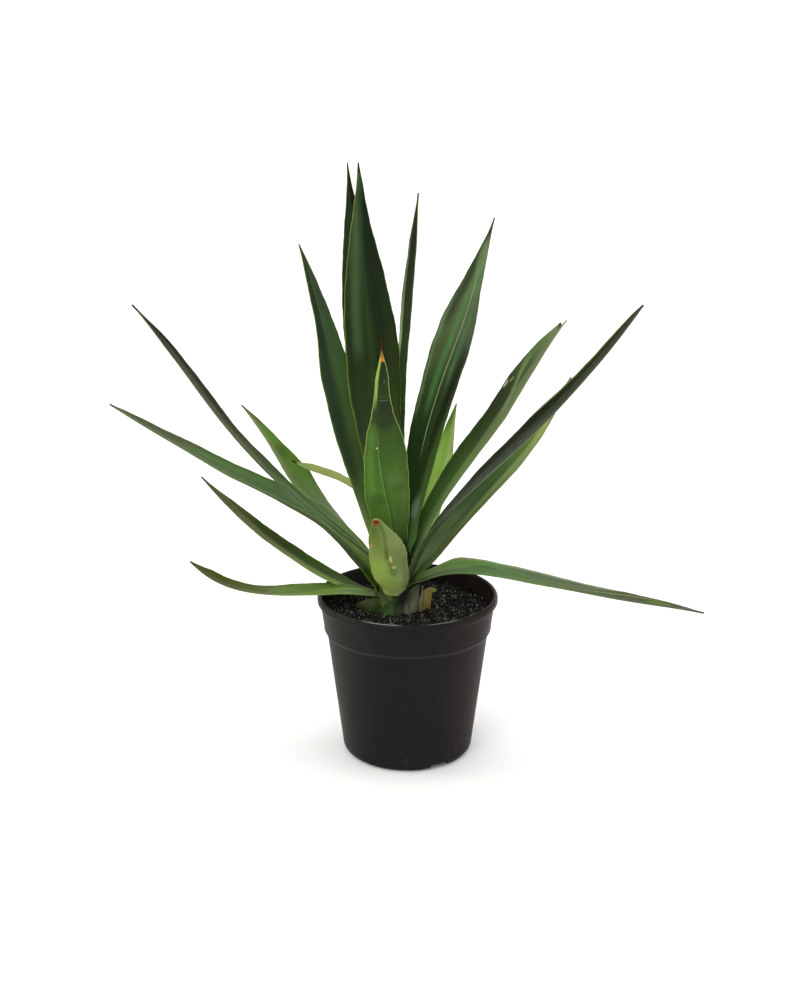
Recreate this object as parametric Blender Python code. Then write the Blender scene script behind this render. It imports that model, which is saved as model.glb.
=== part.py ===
"""A yucca of eighteen leaves in a round plastic nursery pot, modelled at life size.

Metres, +Z up, front toward -Y. The pot stands on the ground plane with the centre of
its base at the world origin.
"""

import math
from typing import NamedTuple

import bmesh
import bpy
import numpy as np
from mathutils import Matrix, Vector

MM = 0.001

# Pot, in millimetres.
POT_HEIGHT = 138.0
POT_WALL = 1.5
POT_FLOOR = 2.0
LIP_RADIUS = 75.0
LIP_DEPTH = 7.0
COLLAR_TOP_RADIUS = 72.3
COLLAR_FOOT_RADIUS = 69.5
COLLAR_FOOT_HEIGHT = 110.0
STEP_HEIGHT = 105.0
BODY_TOP_RADIUS = 66.8
BODY_FOOT_RADIUS = 54.7
BASE_CORNER = 6.0
POT_SIDES = 60
NOTCH_COUNT = 3
NOTCH_FIRST_DEG = -56.0
NOTCH_WIDTH = 24.0
NOTCH_HEIGHT = 4.0
NOTCH_REACH = 7.0

# Soil, in millimetres.
FIT_GAP = 0.3
SOIL_EDGE_HEIGHT = 124.0
SOIL_MOUND = 4.0
SOIL_SIDES = 48

# Stem, in millimetres: (radius, height) up its side. Its foot is planted in the soil.
CROWN_X = -9.0
CROWN_Y = 3.0
STEM_FOOT = 108.3
STEM_SIDE = (
    (16.4, 108.3),
    (17.4, 110.0),
    (17.4, 125.0),
    (16.4, 128.0),
    (14.75, 130.5),
    (14.0, 140.0),
    (12.4, 152.0),
    (10.8, 162.0),
    (9.2, 170.0),
    (7.2, 176.0),
    (4.0, 180.0),
)
STEM_TOP = 181.5
STEM_SIDES = 24

# Leaf blades, in millimetres.
LEAF_STATIONS = 16
LEAF_ACROSS = 4
LEAF_FOLD = 0.2
LEAF_THICK = 2.0
NECK_WIDTH = 9.0
NECK_LENGTH = 40.0
TIP_WIDTH = 1.6
LEAF_COLOURS = {
    "dark": (0.045, 0.085, 0.035),
    "mid": (0.075, 0.145, 0.045),
    "pale": (0.24, 0.36, 0.11),
    "dry": (0.42, 0.30, 0.17),
}


class Leaf(NamedTuple):
    """One blade: where it leaves the stem and how it grows.

    heading and turn are compass angles round the stem from +X, at the root and gained
    by the tip. leans are four guide angles off the vertical, from root to tip. rolls
    turn the blade about its own midrib, at the root and at the tip. root_share is the
    width left at the root, widest_at the share of the length where the blade is
    widest, taper how fast it narrows to the tip, and neck the width where it meets the
    stem.
    """

    name: str
    tone: str
    heading: float
    turn: float
    root_up: float
    leans: tuple
    length: float
    width: float
    rolls: tuple = (0.0, 0.0)
    root_share: float = 0.5
    widest_at: float = 0.5
    taper: float = 1.3
    neck: float = NECK_WIDTH


LEAVES = (
    Leaf("leaf_far_left_high", "dark", 209, -2, 161, (45, 60, 18, 40), 314, 31, (4, 35), 0.5, 0.5, 1.3),
    Leaf("leaf_far_left_long", "mid", 178, 2, 140, (18, 80, 61, 56), 272, 41, (20, -7), 0.5, 0.5, 0.8, 3),
    Leaf("leaf_left_low", "mid", 171, -2, 131, (75, 58, 49, 45), 181, 34, (-4, 5), 0.5, 0.5, 1.3),
    Leaf("leaf_left_level", "mid", 198, -19, 135, (65, 109, 87, 41), 164, 20, (2, 1), 0.5, 0.5, 0.3),
    Leaf("leaf_left_pale", "mid", 142, 1, 152, (70, 56, 28, 57), 199, 34, (-14, -7), 0.5, 0.5, 1.3),
    Leaf("leaf_back_arching", "pale", 100, 85, 145, (24, 14, 106, 62), 148, 14, (-6, 20), 0.5, 0.5, 1.1, 6),
    Leaf("leaf_tall_left", "dark", 140, -1, 163, (22, 24, 9, 26), 270, 39, (-1, 6), 0.5, 0.5, 1.2, 8),
    Leaf("leaf_tall_behind", "dark", 108, 0, 155, (23, 24, 22, 14), 344, 40, (-1, 2), 0.5, 0.5, 1.2, 8),
    Leaf("leaf_tall_centre", "dark", 118, -2, 176, (17, 16, 12, -2), 314, 47, (-4, 9), 0.3, 0.5, 1.4, 6),
    Leaf("leaf_slim_behind", "dark", 91, -24, 165, (17, 22, 25, 12), 305, 15, (16, 37), 0.5, 0.6, 0.8, 3),
    Leaf("leaf_broad_right", "dark", 41, -1, 169, (10, 15, 30, 22), 286, 40, (-1, -6), 0.45, 0.6, 1.4, 6),
    Leaf("leaf_young_right", "pale", 62, 0, 143, (44, 41, 33, 25), 163, 25, (3, 4), 0.5, 0.5, 1.2),
    Leaf("leaf_split_tip", "dark", 22, -1, 163, (17, 56, 26, 43), 238, 40, (-4, 5), 0.5, 0.5, 0.3, 8),
    Leaf("leaf_long_right", "dark", -37, 7, 152, (19, 62, 38, 35), 319, 42, (-18, -31), 0.6, 0.5, 1.3, 2),
    Leaf("leaf_right_behind", "dark", 6, 2, 151, (40, 38, 52, 21), 210, 36, (-15, -18), 0.5, 0.5, 1.3, 4),
    Leaf("leaf_drooping_right", "mid", -18, 4, 144, (44, 134, 81, 98), 244, 40, (-5, 11), 0.55, 0.5, 1),
    Leaf("leaf_front_upright", "mid", 258, 12, 173, (26, 29, 18, 12), 211, 37, (-3, -5), 0.5, 0.4, 1.7, 7),
    Leaf("leaf_front_short", "pale", 262, -16, 140, (28, 30, 27, 42), 97, 33, (-3, -14), 0.5, 0.5, 1, 20),
    Leaf("old_leaf_base", "mid", 206, 0, 129, (60, 80, 95, 95), 20, 17, (0, 0), 0.7, 0.4, 0.4),
    Leaf("dry_bract", "dry", -20, 0, 129, (72, 24, -14, 74), 25, 12, (0, 0), 0.8, 0.6, 0.3),
)


def clear_scene():
    for old in list(bpy.data.objects):
        bpy.data.objects.remove(old, do_unlink=True)


def plain_material(name, colour, roughness):
    material = bpy.data.materials.new(name)
    material.use_nodes = True
    shader = material.node_tree.nodes["Principled BSDF"]
    shader.inputs["Base Color"].default_value = (*colour, 1.0)
    shader.inputs["Roughness"].default_value = roughness
    shader.inputs["Metallic"].default_value = 0.0
    return material


def smooth(mesh, sharp_over_deg=40.0):
    mesh.shade_smooth()
    mesh.set_sharp_from_angle(angle=math.radians(sharp_over_deg))


def add_object(name, shaped, material=None):
    """Turns a bmesh into an object of the scene and gives it its material."""
    bmesh.ops.recalc_face_normals(shaped, faces=shaped.faces)
    mesh = bpy.data.meshes.new(name)
    shaped.to_mesh(mesh)
    shaped.free()
    smooth(mesh)
    made = bpy.data.objects.new(name, mesh)
    bpy.context.scene.collection.objects.link(made)
    if material:
        mesh.materials.append(material)
    return made


def turned(name, profile, sides, material=None):
    """Spins a profile of (radius, height), which starts and ends on the axis, about +Z."""
    shaped = bmesh.new()
    corners = [shaped.verts.new((MM * radius, 0.0, MM * height)) for radius, height in profile]
    edges = [shaped.edges.new(pair) for pair in zip(corners, corners[1:])]
    bmesh.ops.spin(
        shaped,
        geom=corners + edges,
        cent=(0.0, 0.0, 0.0),
        axis=(0.0, 0.0, 1.0),
        angle=2 * math.pi,
        steps=sides,
    )
    bmesh.ops.remove_doubles(shaped, verts=shaped.verts, dist=0.00001)
    return add_object(name, shaped, material)


def cut(target, cutter):
    """Takes the cutter out of the target."""
    cutter.hide_render = True
    cutter.display_type = "WIRE"
    modifier = target.modifiers.new("cut " + cutter.name, "BOOLEAN")
    modifier.operation = "DIFFERENCE"
    modifier.solver = "EXACT"
    modifier.object = cutter


def block(name, size, place):
    """A box of the given size in millimetres, moved to its place by a matrix."""
    shaped = bmesh.new()
    bmesh.ops.create_cube(shaped, size=1.0)
    bmesh.ops.scale(shaped, vec=[MM * s for s in size], verts=shaped.verts)
    bmesh.ops.transform(shaped, matrix=place, verts=shaped.verts)
    return add_object(name, shaped)


def pot_outside():
    """The pot's outer side from the base up to the top of the lip."""
    lip_foot = POT_HEIGHT - LIP_DEPTH
    return [
        (BODY_FOOT_RADIUS - BASE_CORNER, 0.0),
        (BODY_FOOT_RADIUS - 0.45 * BASE_CORNER, 1.0),
        (BODY_FOOT_RADIUS - 0.12 * BASE_CORNER, 3.4),
        (BODY_FOOT_RADIUS, BASE_CORNER + 1.0),
        (BODY_TOP_RADIUS, STEP_HEIGHT),
        (COLLAR_FOOT_RADIUS, COLLAR_FOOT_HEIGHT),
        (COLLAR_TOP_RADIUS, lip_foot - 0.4),
        (LIP_RADIUS - 0.8, lip_foot + 0.4),
        (LIP_RADIUS, lip_foot + 1.8),
        (LIP_RADIUS, POT_HEIGHT - 3.2),
        (LIP_RADIUS - 1.0, POT_HEIGHT - 0.9),
        (LIP_RADIUS - 2.2, POT_HEIGHT),
    ]


def pot_inside():
    """The pot's inner side from the lip down to the floor."""
    return [
        (LIP_RADIUS - 3.5, POT_HEIGHT - 0.6),
        (COLLAR_TOP_RADIUS - 1.3, POT_HEIGHT - 3.0),
        (COLLAR_TOP_RADIUS - POT_WALL, POT_HEIGHT - LIP_DEPTH - 1.0),
        (COLLAR_FOOT_RADIUS - POT_WALL, COLLAR_FOOT_HEIGHT + 0.2),
        (BODY_TOP_RADIUS - POT_WALL, STEP_HEIGHT - 0.2),
        (BODY_FOOT_RADIUS - POT_WALL, BASE_CORNER + 1.6),
        (BODY_FOOT_RADIUS - 3.6, 3.3),
        (BODY_FOOT_RADIUS - 6.8, POT_FLOOR),
    ]


def make_pot():
    plastic = plain_material("charcoal plastic", (0.012, 0.012, 0.013), 0.42)
    profile = [(0.0, 0.0), *pot_outside(), *pot_inside(), (0.0, POT_FLOOR)]
    pot = turned("nursery_pot", profile, POT_SIDES, plastic)
    for number in range(NOTCH_COUNT):
        angle = math.radians(NOTCH_FIRST_DEG + 360.0 * number / NOTCH_COUNT)
        out = MM * (BODY_FOOT_RADIUS - NOTCH_REACH + 10.0)
        up = MM * (NOTCH_HEIGHT / 2 - 1.0)
        place = Matrix.Rotation(angle, 4, "Z") @ Matrix.Translation((out, 0.0, up))
        notch = block(f"drain notch {number + 1}", (20.0, NOTCH_WIDTH, NOTCH_HEIGHT + 2.0), place)
        cut(pot, notch)
    return pot


def make_soil():
    earth = plain_material("potting soil", (0.014, 0.012, 0.010), 0.95)
    wall = [(radius - FIT_GAP, height + FIT_GAP / 2) for radius, height in pot_inside()[3:]]
    edge_radius = COLLAR_TOP_RADIUS - POT_WALL - FIT_GAP - 1.1
    top = [
        (edge_radius, SOIL_EDGE_HEIGHT - 1.0),
        (edge_radius - 2.0, SOIL_EDGE_HEIGHT),
        (48.0, SOIL_EDGE_HEIGHT + 0.3 * SOIL_MOUND),
        (30.0, SOIL_EDGE_HEIGHT + 0.8 * SOIL_MOUND),
    ]
    floor = POT_FLOOR + FIT_GAP
    rounded = [(radius, max(height, floor)) for radius, height in reversed(wall)]
    profile = [(0.0, floor), *rounded, *top, (0.0, SOIL_EDGE_HEIGHT + SOIL_MOUND)]
    soil = turned("potting_soil", profile, SOIL_SIDES, earth)
    hole_radius = STEM_SIDE[1][0] + FIT_GAP
    hole = turned(
        "planting hole",
        [
            (0.0, STEM_FOOT - FIT_GAP),
            (hole_radius, STEM_FOOT - FIT_GAP),
            (hole_radius, POT_HEIGHT),
            (0.0, POT_HEIGHT),
        ],
        STEM_SIDES,
    )
    hole.location = (MM * CROWN_X, MM * CROWN_Y, 0.0)
    cut(soil, hole)
    return soil


def make_stem(crown):
    bark = plain_material("green-grey stem", (0.16, 0.19, 0.10), 0.7)
    profile = [(0.0, STEM_FOOT), *STEM_SIDE, (0.0, STEM_TOP)]
    stem = turned("stem", profile, STEM_SIDES, bark)
    stem.parent = crown
    return stem


def stem_radius(height):
    radii = [radius for radius, up in STEM_SIDE]
    heights = [up for radius, up in STEM_SIDE]
    return float(np.interp(height, heights, radii))


def guided(values, share):
    """A smooth run from the first value to the last, drawn toward the middle two."""
    left = 1.0 - share
    weights = (left**3, 3 * left**2 * share, 3 * left * share**2, share**3)
    return sum(w * v for w, v in zip(weights, values))


def growing_direction(leaf, share):
    """Which way the blade grows at this share of its length, for a leaf that heads +X."""
    lean = math.radians(guided(leaf.leans, share))
    swing = math.radians(leaf.turn * share)
    return Vector(
        (
            math.sin(lean) * math.cos(swing),
            math.sin(lean) * math.sin(swing),
            math.cos(lean),
        )
    )


def midrib(leaf):
    """Points along the middle of the blade, from its root at the origin to the tip."""
    steps = 4 * LEAF_STATIONS
    place = Vector((0.0, 0.0, 0.0))
    path = [place.copy()]
    for number in range(steps):
        place += leaf.length / steps * growing_direction(leaf, (number + 0.5) / steps)
        if number % 4 == 3:
            path.append(place.copy())
    return path


def half_width(leaf, share):
    if share < leaf.widest_at:
        rise = math.sin(math.pi / 2 * share / leaf.widest_at)
        full = leaf.root_share + (1.0 - leaf.root_share) * rise
    else:
        left = (1.0 - share) / (1.0 - leaf.widest_at)
        full = max(0.0, math.sin(math.pi / 2 * left)) ** leaf.taper
    half = 0.5 * leaf.width * full
    grown = min(1.0, share * leaf.length / NECK_LENGTH)
    grown = grown * grown * (3.0 - 2.0 * grown)
    half = min(half, 0.5 * leaf.neck + (half - 0.5 * leaf.neck) * grown)
    return max(half, 0.5 * TIP_WIDTH)


def section_axes(leaf, share):
    """Sideways and upper-face directions of the blade at this share of its length."""
    along = growing_direction(leaf, share)
    swing = math.radians(leaf.turn * share)
    level = Vector((math.sin(swing), -math.cos(swing), 0.0))
    upper = level.cross(along)
    roll = math.radians(leaf.rolls[0] + (leaf.rolls[1] - leaf.rolls[0]) * share)
    side = level * math.cos(roll) + upper * math.sin(roll)
    face = upper * math.cos(roll) - level * math.sin(roll)
    return side, face


def make_leaf(leaf, crown, material):
    """A grid bent along the midrib and folded into a shallow channel, then given thickness."""
    shaped = bmesh.new()
    bmesh.ops.create_grid(
        shaped, x_segments=LEAF_STATIONS, y_segments=LEAF_ACROSS, size=1.0
    )
    path = midrib(leaf)
    for corner in shaped.verts:
        station = round(0.5 * (corner.co.x + 1.0) * LEAF_STATIONS)
        across = corner.co.y
        share = station / LEAF_STATIONS
        half = half_width(leaf, share)
        side, face = section_axes(leaf, share)
        rise = LEAF_FOLD * half * across**2
        corner.co = MM * (path[station] + half * across * side + rise * face)
    blade = add_object(leaf.name, shaped, material)
    skin = blade.modifiers.new("thickness", "SOLIDIFY")
    skin.thickness = MM * LEAF_THICK
    skin.offset = 0.0
    heading = math.radians(leaf.heading)
    seat = 0.5 * LEAF_THICK * math.cos(math.radians(leaf.leans[0]))
    out = stem_radius(leaf.root_up) + FIT_GAP + seat + 0.2
    blade.parent = crown
    blade.rotation_euler = (0.0, 0.0, heading)
    blade.location = (MM * out * math.cos(heading), MM * out * math.sin(heading), MM * leaf.root_up)
    return blade


def main():
    clear_scene()
    make_pot()
    make_soil()
    crown = bpy.data.objects.new("crown", None)
    bpy.context.scene.collection.objects.link(crown)
    crown.location = (MM * CROWN_X, MM * CROWN_Y, 0.0)
    make_stem(crown)
    for leaf in LEAVES:
        colour = LEAF_COLOURS[leaf.tone]
        make_leaf(leaf, crown, plain_material(leaf.name.replace("_", " "), colour, 0.45))


if __name__ == "__main__":
    main()
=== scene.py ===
"""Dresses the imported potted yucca: pot, soil, stem and eighteen leaves, with a studio round it.

Metres, +Z up, front toward -Y. Lengths named _MM and the lengths in the leaf and sheath
tables are millimetres, and angles in those tables are degrees.
"""

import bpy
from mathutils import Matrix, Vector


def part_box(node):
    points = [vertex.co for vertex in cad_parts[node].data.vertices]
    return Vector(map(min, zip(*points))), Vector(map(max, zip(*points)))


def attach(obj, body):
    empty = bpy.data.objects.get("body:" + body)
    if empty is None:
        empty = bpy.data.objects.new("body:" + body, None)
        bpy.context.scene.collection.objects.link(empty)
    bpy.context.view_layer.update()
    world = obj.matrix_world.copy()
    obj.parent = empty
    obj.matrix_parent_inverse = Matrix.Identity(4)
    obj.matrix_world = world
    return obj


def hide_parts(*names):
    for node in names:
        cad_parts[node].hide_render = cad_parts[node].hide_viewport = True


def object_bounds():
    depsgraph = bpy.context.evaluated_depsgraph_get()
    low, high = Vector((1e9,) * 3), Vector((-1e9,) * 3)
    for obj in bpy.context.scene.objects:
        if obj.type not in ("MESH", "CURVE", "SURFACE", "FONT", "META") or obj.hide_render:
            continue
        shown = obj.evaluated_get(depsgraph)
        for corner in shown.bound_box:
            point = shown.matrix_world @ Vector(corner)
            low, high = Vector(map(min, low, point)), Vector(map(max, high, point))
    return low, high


bl_info = {
    "name": "Potted Yucca",
    "version": (1, 0, 0),
    "blender": (4, 5, 0),
    "location": "3D Viewport > Sidebar > Yucca",
    "description": "Builds a potted yucca round its packed solids",
    "category": "Add Mesh",
}

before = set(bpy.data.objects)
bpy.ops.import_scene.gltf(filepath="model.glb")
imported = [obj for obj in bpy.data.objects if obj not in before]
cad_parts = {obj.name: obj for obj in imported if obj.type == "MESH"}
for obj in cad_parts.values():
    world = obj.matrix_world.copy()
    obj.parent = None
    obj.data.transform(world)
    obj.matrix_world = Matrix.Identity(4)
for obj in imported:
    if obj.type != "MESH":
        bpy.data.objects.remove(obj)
CAD_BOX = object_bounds()

import math
import random
from typing import NamedTuple

import bmesh
import bpy
import numpy as np
from mathutils import Matrix, Vector, noise

MM = 0.001
BODY = "root"
POT_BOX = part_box("nursery_pot")
SOIL_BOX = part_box("potting_soil")
STEM_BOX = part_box("stem")
CROWN = Vector(
    (0.5 * (STEM_BOX[0].x + STEM_BOX[1].x), 0.5 * (STEM_BOX[0].y + STEM_BOX[1].y), 0.0)
)

# Leaf blades.
STATIONS = 110  # steps along a blade
ACROSS = 20  # steps across it
CLASP_LENGTH_MM = 42.0
TIP_HALF_MM = 0.25
# Radius and height at points up the side of the stem.
STEM_SIDE_MM = (
    (17.4, 108.0), (17.4, 125.0), (16.4, 128.0), (14.75, 130.5), (14.0, 140.0),
    (12.4, 152.0), (10.8, 162.0), (9.2, 170.0), (7.2, 176.0), (4.0, 180.0),
)


class Stripe(NamedTuple):
    """A line of colour along a blade: the blade's own streak, or painted shade or a painted
    highlight. Between two shares of the length, first and last, its centre runs from start to
    end, where -1 and 1 are the two margins. wide is in millimetres, and soft is the share of it that
    fades."""

    start: float
    end: float
    wide: float
    colour: str
    first: float
    last: float
    strength: float = 0.5
    soft: float = 0.9


class Mark(NamedTuple):
    """An oval scar, spot, painted highlight or painted shade: where it is on the blade, and its size in
    millimetres.
    """

    share: float
    across: float
    long: float
    wide: float
    colour: str
    strength: float = 0.6


class Leaf(NamedTuple):
    """One blade. heading is an angle round the stem from +X and turn is how far it swings
    by the tip. leans are four guide angles off the vertical from root to tip, and rolls turn
    the root and the tip about the midrib. minus and plus are the colours of the two halves
    at five even steps from root to tip, with painted shade and light in them. outline holds
    (share of the length, minus half width, plus half width). Below its first row the root
    widens from root_share of width."""

    name: str
    slot: str
    heading: float
    turn: float
    root_up: float
    leans: tuple
    length: float
    width: float
    rolls: tuple
    minus: str
    plus: str
    outline: tuple
    details: tuple = ()
    root_share: float = 0.5
    widest_at: float = 0.5
    fold: float = 0.2
    fold_at: float = 0.0
    fold_soft: float = 0.35
    tip: str = "3A2A1C"
    tip_long: float = 7.0
    edge: str = "8CA646"
    edge_wide: float = 0.5
    edge_strength: float = 0.4
    gloss: float = 0.42
    shine: float = 0.09
    split: float = 0.0
    streaks: float = 0.3


# Colour stops, stripes and marks hold painted shade and light as well as the blades' own colour: each
# half is darker or paler as light falls on its side of the fold, and near-black stops and stripes are
# painted shadow.
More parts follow.
